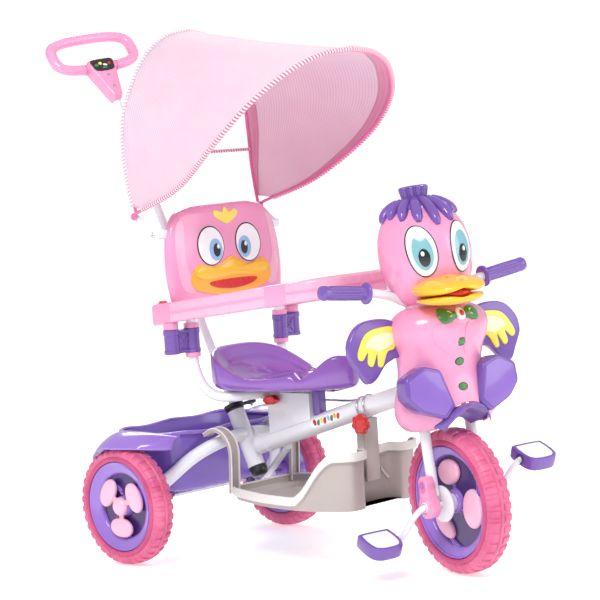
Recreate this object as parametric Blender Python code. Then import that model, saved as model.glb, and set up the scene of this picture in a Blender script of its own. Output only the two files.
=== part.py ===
"""Children's tricycle with a duck figure on the steering, a canopy and a parent push handle.

Metres, +X forward, +Y to the rider's left, +Z up.  Every measure below is taken from the
middle of the rear axle line at ground level; one parent empty then brings the origin to the
middle of the footprint.
"""
import math

import bmesh
import bpy
from mathutils import Euler, Matrix, Vector, geometry

# ---------------------------------------------------------------- driving dimensions
FOOTPRINT_MIDDLE = Vector((0.2256, 0.0000, 0.0))   # moved to the origin by the parent empty
GAP = 0.0004                      # between touching pieces

WHEELBASE = 0.624
TRACK = 0.420
REAR_RADIUS = 0.110
REAR_TYRE_WIDTH = 0.043
REAR_RIM_RADIUS = 0.0836
FRONT_RADIUS = 0.127
FRONT_AXLE_Z = FRONT_RADIUS + 0.0002
FRONT_TYRE_WIDTH = 0.047
FRONT_RIM_RADIUS = 0.0988
WHEEL_STEPS = 28

HEAD_RAKE = math.radians(7.0)     # the steering axis leans back
REST_STEER = math.radians(-14.8)  # the wheel stands turned to the right

TUBE_R = 0.018                    # main tube
MAIN_REAR = Vector((0.114, 0.0, 0.190))
MAIN_FRONT = Vector((0.592, 0.0, 0.331))
HEAD_TUBE_R = 0.020
HEAD_TUBE_BORE = 0.0145
HEAD_TUBE_Z = (0.165, 0.262)      # along the steering axis, from the front axle

POLE_LEAN = math.radians(24.6)
POLE_FOOT = Vector((0.1385, 0.0, 0.1535))
SOCKET_LENGTH = 0.124
SOCKET_R = 0.0165
POLE_R = 0.0075
POLE_LENGTH = 0.812
HEAD_FOOT_Z = 0.790               # lower end of the handle's housing, along the pole
HEAD_BEND = math.radians(13.0)
HANDLE_WIDTH = 0.196
HANDLE_HEIGHT = 0.095
HANDLE_MIDDLE_Z = 0.108           # above the housing's lower end
HANDLE_TUBE_R = 0.0105

AXLE_R = 0.005
ARCH_R = 0.0125
ARCH_FOOT_Y = 0.158

SEAT_HALF_WIDTH = 0.128
SEAT_REAR_X = 0.090
SEAT_NOSE_X = 0.402
SEAT_BOTTOM_Z = 0.313

POST_R = 0.0095
POST_X = 0.107
POST_Y = 0.117
RAIL_PIN_Y = 0.160
RAIL_SLOPE = math.radians(7.0)
RAIL_FRONT_X = 0.470
RAIL_REAR_X = 0.066

BACK_X = 0.088
BACK_HALF_WIDTH = 0.142
BACK_Z = (0.470, 0.655)
BACK_THICKNESS = 0.030

CANOPY_PIVOT = Vector((0.026, 0.160, 0.642))
BOW_R = 0.003
CLOTH_THICKNESS = 0.0024

TRAY_FLOOR_Z = 0.109
TRAY_WALL = 0.003

CRANK_RADIUS = 0.0715
CRANK_ANGLE = math.radians(228.0)  # right crank, from forward, about the axle
CRANK_R = 0.0055
PEDAL_Y = 0.140
PEDAL_TILT = math.radians(28.0)

LEVER_ARM = 0.040                 # both levers of the parent steering
LINK_R = 0.0022

# ---------------------------------------------------------------- colours
COLOURS = {
    "pink": ((0.86, 0.36, 0.60, 1), 0.30, 0.0),
    "rose": ((0.80, 0.20, 0.42, 1), 0.40, 0.0),
    "tyre": ((0.78, 0.13, 0.33, 1), 0.55, 0.0),
    "purple": ((0.21, 0.10, 0.47, 1), 0.30, 0.0),
    "lilac": ((0.30, 0.15, 0.55, 1), 0.28, 0.0),
    "white": ((0.86, 0.86, 0.88, 1), 0.30, 0.0),
    "steel": ((0.62, 0.62, 0.64, 1), 0.25, 1.0),
    "black": ((0.02, 0.02, 0.02, 1), 0.50, 0.0),
    "red": ((0.75, 0.02, 0.02, 1), 0.35, 0.0),
    "beige": ((0.53, 0.47, 0.45, 1), 0.45, 0.0),
    "yellow": ((0.95, 0.50, 0.04, 1), 0.30, 0.0),
    "cloth": ((0.93, 0.75, 0.84, 1), 0.85, 0.0),
}


def material(name):
    """The Principled material of one colour name."""
    found = bpy.data.materials.get(name)
    if found:
        return found
    colour, roughness, metallic = COLOURS[name]
    made = bpy.data.materials.new(name)
    made.use_nodes = True
    shader = made.node_tree.nodes["Principled BSDF"]
    shader.inputs["Base Color"].default_value = colour
    shader.inputs["Roughness"].default_value = roughness
    shader.inputs["Metallic"].default_value = metallic
    return made


# ---------------------------------------------------------------- scene and frames
for old in list(bpy.data.objects):
    bpy.data.objects.remove(old, do_unlink=True)

PARTS = bpy.data.collections.new("childrens_tricycle")
CUTTERS = bpy.data.collections.new("cutters")
for made_collection in (PARTS, CUTTERS):
    bpy.context.scene.collection.children.link(made_collection)


def empty(name, parent=None, location=(0, 0, 0), rotation=(0, 0, 0)):
    """A parent frame: pieces made under it use its own coordinates."""
    frame = bpy.data.objects.new(name, None)
    PARTS.objects.link(frame)
    frame.parent = parent
    frame.location = location
    frame.rotation_euler = rotation
    return frame


ROOT = empty("footprint_middle", location=-FOOTPRINT_MIDDLE)
HEAD_AXIS = empty("head_axis", ROOT, (WHEELBASE, 0, FRONT_AXLE_Z), (0, -HEAD_RAKE, 0))
STEER = empty("steering", HEAD_AXIS, rotation=(0, 0, REST_STEER))
POLE = empty("pole_axis", ROOT, POLE_FOOT, (0, -POLE_LEAN, 0))
PUSH = empty("push_turn", POLE, rotation=(0, 0, REST_STEER))


# ---------------------------------------------------------------- making shapes
def add(name, mesh, colour, parent=ROOT, location=(0, 0, 0), rotation=(0, 0, 0)):
    """Link a mesh as a named piece with its material."""
    piece = bpy.data.objects.new(name, mesh)
    PARTS.objects.link(piece)
    piece.parent = parent
    piece.location = location
    piece.rotation_euler = rotation
    mesh.materials.clear()
    mesh.materials.append(material(colour))
    mesh.shade_smooth()
    mesh.set_sharp_from_angle(angle=math.radians(35))
    return piece


def as_cutter(piece):
    """Move an object to the cutters, hidden from the build."""
    for holder in list(piece.users_collection):
        holder.objects.unlink(piece)
    CUTTERS.objects.link(piece)
    piece.hide_render = True
    piece.display_type = "WIRE"
    return piece


def mesh_of(fill):
    """A mesh made by a function that fills a bmesh."""
    work = bmesh.new()
    fill(work)
    bmesh.ops.recalc_face_normals(work, faces=work.faces)
    mesh = bpy.data.meshes.new("shape")
    work.to_mesh(mesh)
    work.free()
    return mesh


def box_mesh(size, centre=(0, 0, 0), bevel=0.0, segments=2):
    """A box, with rounded edges where bevel is given."""
    def fill(work):
        bmesh.ops.create_cube(work, size=1.0)
        bmesh.ops.scale(work, vec=size, verts=work.verts)
        if bevel:
            bmesh.ops.bevel(work, geom=work.edges, offset=bevel, segments=segments,
                            profile=0.5, affect="EDGES")
        bmesh.ops.translate(work, vec=centre, verts=work.verts)
    return mesh_of(fill)


def cylinder_mesh(radius, length, sides=24, centre=(0, 0, 0), axis="Z", top_radius=None):
    """A cylinder or cone about Z or Y."""
    def fill(work):
        bmesh.ops.create_cone(work, cap_ends=True, segments=sides, radius1=radius,
                              radius2=radius if top_radius is None else top_radius,
                              depth=length)
        if axis == "Y":
            bmesh.ops.rotate(work, verts=work.verts, cent=(0, 0, 0),
                             matrix=Matrix.Rotation(-math.pi / 2, 3, "X"))
        bmesh.ops.translate(work, vec=centre, verts=work.verts)
    return mesh_of(fill)


def turned_mesh(profile, steps=WHEEL_STEPS, axis="Z"):
    """A turned shape: (radius, height) points of a closed outline, or one from axis to axis."""
    closed = profile[0][0] > 1e-6

    def fill(work):
        rings = []
        for radius, height in profile:
            if radius < 1e-6:
                rings.append([work.verts.new((0, 0, height))])
                continue
            rings.append([
                work.verts.new((radius * math.cos(2 * math.pi * i / steps),
                                radius * math.sin(2 * math.pi * i / steps), height))
                for i in range(steps)])
        pairs = list(zip(rings, rings[1:]))
        if closed:
            pairs.append((rings[-1], rings[0]))
        for lower, upper in pairs:
            for i in range(steps):
                corners = [lower[i % len(lower)], lower[(i + 1) % len(lower)],
                           upper[(i + 1) % len(upper)], upper[i % len(upper)]]
                work.faces.new(list(dict.fromkeys(corners)))
        if axis == "Y":
            bmesh.ops.rotate(work, verts=work.verts, cent=(0, 0, 0),
                             matrix=Matrix.Rotation(-math.pi / 2, 3, "X"))
    return mesh_of(fill)


def loft_mesh(rings):
    """A closed solid through rings of equally many points, with flat ends."""
    def fill(work):
        made = [[work.verts.new(point) for point in ring] for ring in rings]
        count = len(made[0])
        for lower, upper in zip(made, made[1:]):
            for i in range(count):
                j = (i + 1) % count
                work.faces.new((lower[i], lower[j], upper[j], upper[i]))
        work.faces.new(made[0])
        work.faces.new(made[-1])
    return mesh_of(fill)


def slab_mesh(outline, thickness, bevel=0.0):
    """A flat outline in XY made into a plate between z = 0 and its thickness."""
    def fill(work):
        face = work.faces.new([work.verts.new((x, y, 0)) for x, y in outline])
        grown = bmesh.ops.extrude_face_region(work, geom=[face])["geom"]
        lifted = [item for item in grown if isinstance(item, bmesh.types.BMVert)]
        bmesh.ops.translate(work, vec=(0, 0, thickness), verts=lifted)
        if bevel:
            rims = [edge for edge in work.edges
                    if abs(edge.verts[0].co.z - edge.verts[1].co.z) < 1e-7]
            bmesh.ops.bevel(work, geom=rims, offset=bevel, segments=2, profile=0.5,
                            affect="EDGES")
    return mesh_of(fill)


def ellipse(a, b, centre=(0, 0, 0), count=24, power=1.0):
    """Points of a (super)ellipse in XY; power under 1 squares it."""
    points = []
    for i in range(count):
        t = 2 * math.pi * i / count
        c, s = math.cos(t), math.sin(t)
        points.append((centre[0] + a * math.copysign(abs(c) ** power, c),
                       centre[1] + b * math.copysign(abs(s) ** power, s), centre[2]))
    return points


def smooth(points, per_span=4, closed=False):
    """Points of a Catmull-Rom curve through the given ones."""
    knots = [Vector(p) for p in points]
    count = len(knots)
    out = []
    for i in range(count if closed else count - 1):
        if closed:
            a, b, c, d = (knots[(i + k) % count] for k in (-1, 0, 1, 2))
        else:
            b, c = knots[i], knots[i + 1]
            a = knots[i - 1] if i else b * 2 - c
            d = knots[i + 2] if i + 2 < count else c * 2 - b
        for k in range(per_span):
            t = k / per_span
            out.append(0.5 * ((2 * b) + (c - a) * t + (2 * a - 5 * b + 4 * c - d) * t * t
                              + (3 * b - a - 3 * c + d) * t ** 3))
    if not closed:
        out.append(knots[-1])
    return out


def rounded(corners, radii, per_arc=3):
    """A path with its corners turned into short arcs."""
    path = [Vector(corners[0])]
    for before, corner, after, radius in zip(corners, corners[1:], corners[2:], radii):
        corner = Vector(corner)
        start = corner + (Vector(before) - corner).normalized() * radius
        end = corner + (Vector(after) - corner).normalized() * radius
        for k in range(per_arc + 1):
            t = k / per_arc
            path.append(start * (1 - t) ** 2 + corner * 2 * t * (1 - t) + end * t * t)
    path.append(Vector(corners[-1]))
    return path


def tube_mesh(points, radius, resolution=3, closed=False):
    """A round tube along points, as a mesh with welded caps."""
    curve = bpy.data.curves.new("path", "CURVE")
    curve.dimensions = "3D"
    curve.bevel_depth = radius
    curve.bevel_resolution = resolution
    curve.use_fill_caps = True
    line = curve.splines.new("POLY")
    line.points.add(len(points) - 1)
    line.use_cyclic_u = closed
    for knot, point in zip(line.points, points):
        knot.co = (*point, 1)
    holder = bpy.data.objects.new("path", curve)
    bpy.context.scene.collection.objects.link(holder)
    bpy.context.view_layer.update()
    evaluated = holder.evaluated_get(bpy.context.evaluated_depsgraph_get())
    mesh = bpy.data.meshes.new_from_object(evaluated)
    bpy.data.objects.remove(holder)
    bpy.data.curves.remove(curve)
    work = bmesh.new()
    work.from_mesh(mesh)
    bmesh.ops.remove_doubles(work, verts=work.verts, dist=0.00001)
    bmesh.ops.recalc_face_normals(work, faces=work.faces)
    work.to_mesh(mesh)
    work.free()
    return mesh


def tube(name, points, radius, colour, parent=ROOT, resolution=3, closed=False):
    """A named round tube."""
    return add(name, tube_mesh(points, radius, resolution, closed), colour, parent)


def boolean(piece, other, operation="DIFFERENCE"):
    """Cut or join with another object, which becomes a cutter."""
    modifier = piece.modifiers.new(operation.lower(), "BOOLEAN")
    modifier.operation = operation
    modifier.object = other
    modifier.solver = "EXACT"
    return as_cutter(other)


def cut(piece, mesh, parent=ROOT, location=(0, 0, 0), rotation=(0, 0, 0)):
    """Cut a piece with a mesh placed in a frame."""
    return boolean(piece, add("cutter", mesh, "black", parent, location, rotation))


def join(piece, mesh, parent=ROOT, location=(0, 0, 0), rotation=(0, 0, 0)):
    """Join a mesh placed in a frame to a piece."""
    other = add("cutter", mesh, "black", parent, location, rotation)
    return boolean(piece, other, "UNION")


def mirrored_y(points):
    """The same points on the other side of the middle plane."""
    return [Vector((p[0], -p[1], p[2])) for p in points]


# ---------------------------------------------------------------- frame
def main_axis(x):
    """A point of the main tube's middle line at one X."""
    t = (x - MAIN_REAR.x) / (MAIN_FRONT.x - MAIN_REAR.x)
    return MAIN_REAR.lerp(MAIN_FRONT, t)


def make_frame():
    socket_clear = cylinder_mesh(SOCKET_R + GAP, SOCKET_LENGTH + 0.04, 32,
                                 (0, 0, SOCKET_LENGTH / 2))
    head_clear = cylinder_mesh(HEAD_TUBE_R + GAP, 0.14, 32, (0, 0, sum(HEAD_TUBE_Z) / 2))

    main = tube("main_tube", [MAIN_REAR, main_axis(0.35), MAIN_FRONT], TUBE_R, "white",
                resolution=6)
    cut(main, socket_clear, POLE)
    cut(main, head_clear, HEAD_AXIS)

    low, high = HEAD_TUBE_Z
    ring = [(HEAD_TUBE_BORE, low), (HEAD_TUBE_R, low), (HEAD_TUBE_R, high),
            (HEAD_TUBE_BORE, high)]
    add("head_tube", turned_mesh(ring, 24), "white", HEAD_AXIS)

    bore = POLE_R + 0.0010
    sleeve = [(bore, 0), (SOCKET_R, 0), (SOCKET_R, SOCKET_LENGTH), (bore, SOCKET_LENGTH)]
    add("handle_socket", turned_mesh(sleeve, 24), "white", POLE)
    cap = [(0, -0.014), (0.0125, -0.014), (SOCKET_R, -0.010), (SOCKET_R, -GAP),
           (0, -GAP)]
    add("socket_cap", turned_mesh(cap, 24), "black", POLE)

    foot = (0.0, -ARCH_FOOT_Y, REAR_RADIUS + AXLE_R + ARCH_R * 0.4)
    half = smooth([foot, (0.034, -0.146, 0.143), (0.078, -0.108, 0.188),
                   (0.106, -0.062, 0.212), (0.115, -0.004, 0.220)], 4)
    for side, path in (("right", half), ("left", mirrored_y(half))):
        leg = tube("rear_arch_" + side, path, ARCH_R, "white", resolution=3)
        cut(leg, socket_clear, POLE)
        cut(leg, tube_mesh([MAIN_REAR, MAIN_FRONT], TUBE_R + GAP, 6))
        cut(leg, cylinder_mesh(AXLE_R + GAP, 0.5, 16, (0, 0, REAR_RADIUS), "Y"))
        sign = -1 if side == "right" else 1
        cut(leg, box_mesh((0.2, 0.02, 0.4), (0.115, -sign * 0.0098, 0.22)))

    length = TRACK + 0.030
    add("rear_axle", cylinder_mesh(AXLE_R, length, 12, (0, 0, REAR_RADIUS), "Y"), "steel")

    brace = tube("brace_strut", [(0.004, 0.128, 0.109), (0.086, 0.064, 0.117),
                                 (0.216, 0.006, 0.200)], 0.0065, "white", resolution=2)
    cut(brace, tube_mesh([MAIN_REAR, MAIN_FRONT], TUBE_R + GAP, 6))
    cut(brace, cylinder_mesh(AXLE_R + GAP, 0.5, 16, (0, 0, REAR_RADIUS), "Y"))


# ---------------------------------------------------------------- rear wheels
def tyre_profile(radius, rim, width):
    """Closed outline of a solid tyre, (radius, height across the wheel)."""
    half = width / 2
    return [(rim, -half), (radius * 0.955, -half), (radius * 0.99, -half * 0.66),
            (radius, 0), (radius * 0.99, half * 0.66), (radius * 0.955, half),
            (rim, half)]


def rim_profile(rim, bore, hub, width, web=0.004):
    """Closed outline of a dished wheel centre."""
    half = width / 2
    outer = rim - GAP
    return [(bore, -half * 0.62), (hub, -half * 0.62), (hub * 1.06, -web),
            (outer * 0.66, -web), (outer, -half * 0.86), (outer, half * 0.86),
            (outer * 0.66, web), (hub * 1.06, web), (hub, half * 0.62),
            (bore, half * 0.62)]


def petal_cap(sides=16):
    """A domed hub cap with three flat petals, facing +Z."""
    dome = [(0, 0.0125), (0.0095, 0.0110), (0.0160, 0.006), (0.017, 0.0), (0, 0.0)]
    return turned_mesh(dome, sides)


def petal_mesh(reach=0.0410, a=0.0160, b=0.0265, angle=0.0):
    """One oval petal lying in XY, long across its radius."""
    turn = Matrix.Rotation(angle, 3, "Z")
    rings = []
    for z, grow in ((0.0004, 1.0), (0.0036, 1.0), (0.0050, 0.86)):
        rings.append([turn @ Vector((reach + x, y, z))
                      for x, y, _ in ellipse(a * grow, b * grow, count=12)])
    return loft_mesh(rings)


def make_rear_wheels():
    for side, sign in (("right", -1), ("left", 1)):
        frame = empty("rear_wheel_" + side, ROOT, (0, sign * TRACK / 2, REAR_RADIUS))
        add("rear_tyre_" + side,
            turned_mesh(tyre_profile(REAR_RADIUS, REAR_RIM_RADIUS, REAR_TYRE_WIDTH),
                        axis="Y"), "tyre", frame)
        add("rear_rim_" + side,
            turned_mesh(rim_profile(REAR_RIM_RADIUS, AXLE_R + 0.0008, 0.018,
                                    REAR_TYRE_WIDTH), axis="Y"), "lilac", frame)
        face_out = (math.pi / 2, 0, 0) if side == "right" else (-math.pi / 2, 0, 0)
        seat = sign * (REAR_TYRE_WIDTH / 2 * 0.62 + GAP)
        cap = add("hub_cap_" + side, petal_cap(), "pink", frame, (0, seat, 0), face_out)
        for step in range(3):
            angle = math.radians(26 + 120 * step)
            if side == "left":
                angle = math.pi - angle
            join(cap, petal_mesh(angle=angle), frame, (0, seat, 0), face_out)
            arm = box_mesh((0.022, 0.009, 0.0030), (0.0215, 0, 0.0021))
            arm.transform(Matrix.Rotation(angle, 4, "Z"))
            join(cap, arm, frame, (0, seat, 0), face_out)
        pocket = cylinder_mesh(AXLE_R + 0.0010, 0.0052, 12, (0, 0, 0.0016))
        cut(cap, pocket, frame, (0, seat, 0), face_out)


# ---------------------------------------------------------------- front wheel and pedals
def make_front_wheel():
    wheel = empty("front_wheel", STEER)
    add("front_tyre",
        turned_mesh(tyre_profile(FRONT_RADIUS, FRONT_RIM_RADIUS, FRONT_TYRE_WIDTH),
                    axis="Y"), "tyre", wheel)
    add("front_rim",
        turned_mesh(rim_profile(FRONT_RIM_RADIUS, CRANK_R + 0.0008, 0.020,
                                FRONT_TYRE_WIDTH), axis="Y"), "lilac", wheel)
    reach = Vector((math.cos(CRANK_ANGLE), 0, math.sin(CRANK_ANGLE))) * CRANK_RADIUS
    inner, bend = 0.074, 0.092
    stub = 0.025
    right = [(0, -inner, 0), (reach.x * 0.16, -bend + 0.005, reach.z * 0.16),
             (reach.x * 0.86, -bend - 0.006, reach.z * 0.86),
             (reach.x, -PEDAL_Y + 0.024 + stub * 0.3, reach.z),
             (reach.x, -PEDAL_Y - stub, reach.z)]
    path = [Vector((0, 0, 0))] + rounded([(0, -0.04, 0)] + right,
                                         [0.004, 0.012, 0.012, 0.006], 2)
    left = [-p for p in path[1:]]
    tube("crank_axle", list(reversed(left)) + path, CRANK_R, "white", wheel, 2)
    for side, sign in (("right", -1), ("left", 1)):
        centre = (-sign * reach.x, sign * PEDAL_Y, -sign * reach.z)
        pivot = empty("pedal_axis_" + side, wheel, centre, (0, PEDAL_TILT, 0))
        pedal = add("pedal_" + side, box_mesh((0.060, 0.064, 0.024), bevel=0.009),
                    "purple", pivot)
        cut(pedal, cylinder_mesh(CRANK_R + 0.0015, 0.064, 16, (0, -sign * 0.006, 0), "Y"),
            pivot)


# ---------------------------------------------------------------- fork and handlebar
LEG_Y = 0.049
LEG_R = 0.0095
CROWN_Z = 0.150
STEERER_R = 0.0125
FORK_TAB_Y = 0.040
BAR_R = 0.0080
BAR_PATH = [(0, 0, 0.3455), (-0.001, 0.026, 0.3465), (-0.002, 0.046, 0.3520),
            (-0.002, 0.068, 0.3630), (0, 0.092, 0.3710), (0, 0.120, 0.3765),
            (0, 0.206, 0.3875)]


def handlebar_points():
    """The handlebar's middle line from the right grip to the left."""
    left = smooth(BAR_PATH, 2)
    return list(reversed(mirrored_y(left)))[:-1] + left


def make_fork():
    legs = [(0, -LEG_Y, 0.016), (0, -LEG_Y, CROWN_Z), (0, LEG_Y, CROWN_Z),
            (0, LEG_Y, 0.016)]
    fork = tube("fork", rounded(legs, [0.022, 0.022], 3), LEG_R, "white", STEER, 2)
    steerer_top = 0.3455 - BAR_R - 0.0008
    join(fork, cylinder_mesh(STEERER_R, steerer_top - CROWN_Z, 20,
                             (0, 0, (steerer_top + CROWN_Z) / 2)), STEER)
    # upright tab on the crown, pulled by the parent steering's link
    join(fork, box_mesh((0.011, 0.004, 0.044), (0, FORK_TAB_Y, 0.172), 0.001, 1), STEER)

    for side, sign in (("right", -1), ("left", 1)):
        y = sign * 0.0615
        end = add("fork_end_" + side,
                  box_mesh((0.026, 0.019, 0.074), (0, y, 0.016), 0.004, 1), "pink", STEER)
        join(end, cylinder_mesh(0.0215, 0.021, 20, (0, y, 0), "Y"), STEER)
        cut(end, cylinder_mesh(CRANK_R + 0.0009, 0.06, 16, (0, y, 0), "Y"), STEER)
        cut(end, cylinder_mesh(LEG_R + 0.0006, 0.09, 20,
                               (0, sign * LEG_Y, 0.0154 + 0.045)), STEER)

    bar = handlebar_points()
    tube("handlebar", bar, BAR_R, "white", STEER, 2)
    for side, sign in (("right", -1), ("left", 1)):
        start = Vector((0, sign * 0.1215, 0.3767))
        end = Vector((0, sign * 0.2125, 0.3883))
        along = (end - start)
        length = along.length
        bore = BAR_R + 0.0008
        grip = [(0, length + 0.0020), (0.0105, length + 0.0020), (0.0125, length - 0.001),
                (0.0125, length - 0.010), (0.0115, length - 0.013), (0.0115, 0.007),
                (0.0185, 0.005), (0.0190, 0.0025), (0.0185, 0.0), (bore, 0.0),
                (bore, length - 0.004), (0, length - 0.004)]
        turn = Vector((0, 0, 1)).rotation_difference(along).to_euler()
        add("grip_" + side, turned_mesh(grip, 16), "purple", STEER, start, turn)


# ---------------------------------------------------------------- duck figure
# heights along the steering axis: (z, middle x, half depth, half width)
BODY_RINGS = [(0.1290, 0.004, 0.052, 0.066), (0.1335, 0.004, 0.060, 0.079),
              (0.1450, 0.004, 0.066, 0.091), (0.1650, 0.004, 0.067, 0.097),
              (0.1900, 0.003, 0.063, 0.092), (0.2150, 0.003, 0.060, 0.083),
              (0.2380, 0.005, 0.060, 0.079), (0.2620, 0.011, 0.064, 0.082),
              (0.2850, 0.017, 0.069, 0.090), (0.3050, 0.020, 0.070, 0.092),
              (0.3220, 0.018, 0.066, 0.086), (0.3340, 0.014, 0.056, 0.070),
              (0.3400, 0.010, 0.044, 0.052), (0.3420, 0.008, 0.034, 0.042)]
HEAD_RINGS = [(0.3424, 0.008, 0.036, 0.040), (0.3480, 0.009, 0.050, 0.052),
              (0.3600, 0.010, 0.063, 0.063), (0.3800, 0.011, 0.075, 0.072),
              (0.4050, 0.012, 0.083, 0.078), (0.4320, 0.012, 0.085, 0.080),
              (0.4600, 0.010, 0.081, 0.077), (0.4850, 0.008, 0.070, 0.068),
              (0.5050, 0.005, 0.053, 0.053), (0.5180, 0.003, 0.034, 0.034),
              (0.5240, 0.002, 0.014, 0.014)]
SHELL = 0.0035


def ring_stack(rings, grow=0.0, count=20):
    """Ellipse rings from a table of (z, x, half depth, half width)."""
    return [ellipse(a + grow, b + grow, (x, 0, z), count) for z, x, a, b in rings]


def mudguard_rows(half=0.058, lift=0.0, reach=0.0, start=0.0142):
    """Rows across the visor over the front wheel, from the fork crown forward."""
    rows = []
    for k in range(6):
        s = k / 5
        crest = 0.150 + 0.015 * math.sin(s * math.pi / 2) + lift
        wide = 0.040 + (half - 0.040) * min(1.0, 1.5 * s)
        row = []
        for i in range(-4, 5):
            t = i / 4
            x = start + (0.078 - start) * s - 0.036 * s * t * t + reach * s
            row.append((x, wide * t, crest - (0.020 + 0.020 * s) * t * t))
        rows.append(row)
    return rows


def sheet_mesh(rows):
    """An open sheet through rows of equally many points."""
    def fill(work):
        made = [[work.verts.new(point) for point in row] for row in rows]
        for low, high in zip(made, made[1:]):
            for i in range(len(low) - 1):
                work.faces.new((low[i], low[i + 1], high[i + 1], high[i]))
    return mesh_of(fill)


def thick_sheet(rows, thickness):
    """A closed solid: the sheet and its copy along the vertex normals."""
    open_mesh = sheet_mesh(rows)
    normals = [vertex.normal.copy() for vertex in open_mesh.vertices]
    up = 1 if sum(n.z for n in normals) > 0 else -1
    wide = len(rows[0])

    def fill(work):
        top, low = [], []
        for vertex, normal in zip(open_mesh.vertices, normals):
            offset = normal * (thickness / 2 * up)
            top.append(work.verts.new(vertex.co + offset))
            low.append(work.verts.new(vertex.co - offset))
        for r in range(len(rows) - 1):
            for c in range(wide - 1):
                i = r * wide + c
                quad = (i, i + 1, i + wide + 1, i + wide)
                work.faces.new([top[k] for k in quad])
                work.faces.new([low[k] for k in reversed(quad)])
        count = len(rows) * wide
        rim = list(range(wide)) + [r * wide + wide - 1 for r in range(1, len(rows))]
        rim += [count - 2 - k for k in range(wide - 1)]
        rim += [r * wide for r in range(len(rows) - 2, 0, -1)]
        for a, b in zip(rim, rim[1:] + rim[:1]):
            work.faces.new((top[b], top[a], low[a], low[b]))
    return mesh_of(fill)


def wing_outline():
    """A plain wing with three feather tips, in its own plane; the root is at x = 0."""
    knots = [(-0.004, 0.030), (0.030, 0.047), (0.066, 0.041), (0.091, 0.014),
             (0.101, -0.022), (0.090, -0.036), (0.083, -0.026), (0.080, -0.050),
             (0.068, -0.060), (0.060, -0.045), (0.050, -0.066), (0.030, -0.060),
             (0.012, -0.034), (-0.004, -0.020)]
    return [(p.x, p.y) for p in smooth([(x, y, 0) for x, y in knots], 2, closed=True)]


def foot_outline():
    """A plain webbed foot sole with blunt corners."""
    corners = [(-0.030, -0.040), (0.018, -0.052), (0.047, -0.030), (0.034, 0.018),
               (0.016, 0.046), (-0.028, 0.044), (-0.050, 0.010)]
    knots = []
    count = len(corners)
    for i, corner in enumerate(corners):
        here = Vector(corner)
        for other, t in ((corners[i - 1], 0.14), (corners[(i + 1) % count], 0.14)):
            knots.append(tuple(here.lerp(Vector(other), t)))
    return knots


def make_duck():
    body = add("duck_body", loft_mesh(ring_stack(BODY_RINGS)), "pink", STEER)
    inner = [(z, x, a - SHELL, b - SHELL) for z, x, a, b in BODY_RINGS[:-1]]
    inner[0] = (0.1200,) + inner[1][1:]
    inner[-1] = (0.3370,) + inner[-1][1:]
    cut(body, loft_mesh(ring_stack(inner)), STEER)
    cut(body, cylinder_mesh(0.0142, 0.05, 24, (0, 0, 0.345)), STEER)
    # open back for the main tube and the link, wide enough for the full steering angle
    cut(body, box_mesh((0.12, 0.150, 0.150), (-0.076, 0, 0.178), 0.012), STEER)
    bar_clear = tube_mesh(handlebar_points(), BAR_R + 0.0010, 3)
    cut(body, bar_clear, STEER)
    cut(body, thick_sheet(mudguard_rows(0.061, -0.0235, 0.010, 0.002), 0.052), STEER)

    head = add("duck_head", loft_mesh(ring_stack(HEAD_RINGS)), "pink", STEER)
    cut(head, bar_clear, STEER)

    head_clear = loft_mesh(ring_stack(HEAD_RINGS, GAP))
    body_clear = loft_mesh(ring_stack(BODY_RINGS, GAP))

    # plain open bill: one moulding, the mouth is a recess
    bill_rings = []
    for x, half, low, high in ((0.050, 0.070, 0.351, 0.385), (0.080, 0.072, 0.348, 0.386),
                               (0.105, 0.062, 0.345, 0.380), (0.130, 0.044, 0.344, 0.373),
                               (0.148, 0.026, 0.347, 0.368), (0.156, 0.010, 0.352, 0.363)):
        bill_rings.append([(x, y, z) for y, z, _ in
                           ellipse(half, (high - low) / 2, (0, (high + low) / 2, 0), 20)])
    bill = add("duck_bill", loft_mesh(bill_rings), "yellow", STEER)
    cut(bill, head_clear, STEER)
    cut(bill, body_clear, STEER)
    mouth = box_mesh((0.040, 0.052, 0.012), (0.152, 0, 0.3565), 0.005)
    cut(bill, mouth, STEER)

    # feather tuft: a scalloped cap with a bun
    petals = 10
    rings = []
    for z, radius, depth in ((0.486, 0.0720, 0.10), (0.500, 0.0640, 0.10),
                             (0.516, 0.0440, 0.10), (0.524, 0.0260, 0.10),
                             (0.534, 0.0225, 0.12), (0.5490, 0.0260, 0.12),
                             (0.5515, 0.0225, 0.10)):
        ring = []
        for i in range(petals * 2):
            t = math.pi * i / petals
            r = radius * (1.0 if i % 2 else 1.0 - depth)
            ring.append((0.004 + r * math.cos(t), r * math.sin(t), z))
        rings.append(ring)
    tuft = add("duck_tuft", loft_mesh(rings), "purple", STEER)
    cut(tuft, head_clear, STEER)

    for side, sign in (("right", -1), ("left", 1)):
        outline = [(x * sign, y) for x, y in wing_outline()]
        wing = add("wing_" + side, slab_mesh(outline, 0.016, 0.003), "purple", STEER,
                   (-0.006, sign * 0.082, 0.287),
                   Matrix(((0, 0, 1), (1, 0, 0), (0, 1, 0))).to_euler())
        cut(wing, body_clear, STEER)
        outline = [(x * sign, y) for x, y in foot_outline()]
        turn = Matrix.Rotation(sign * math.radians(14), 3, "Z")
        plane = turn @ Matrix(((0, 0, 1), (1, 0, 0), (0, 1, 0)))
        foot = add("foot_" + side, slab_mesh(outline, 0.028, 0.003), "purple", STEER,
                   (0.043, sign * 0.073, 0.193), plane.to_euler())
        cut(foot, body_clear, STEER)

    add("mudguard", thick_sheet(mudguard_rows(), 0.003), "purple", STEER)


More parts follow.
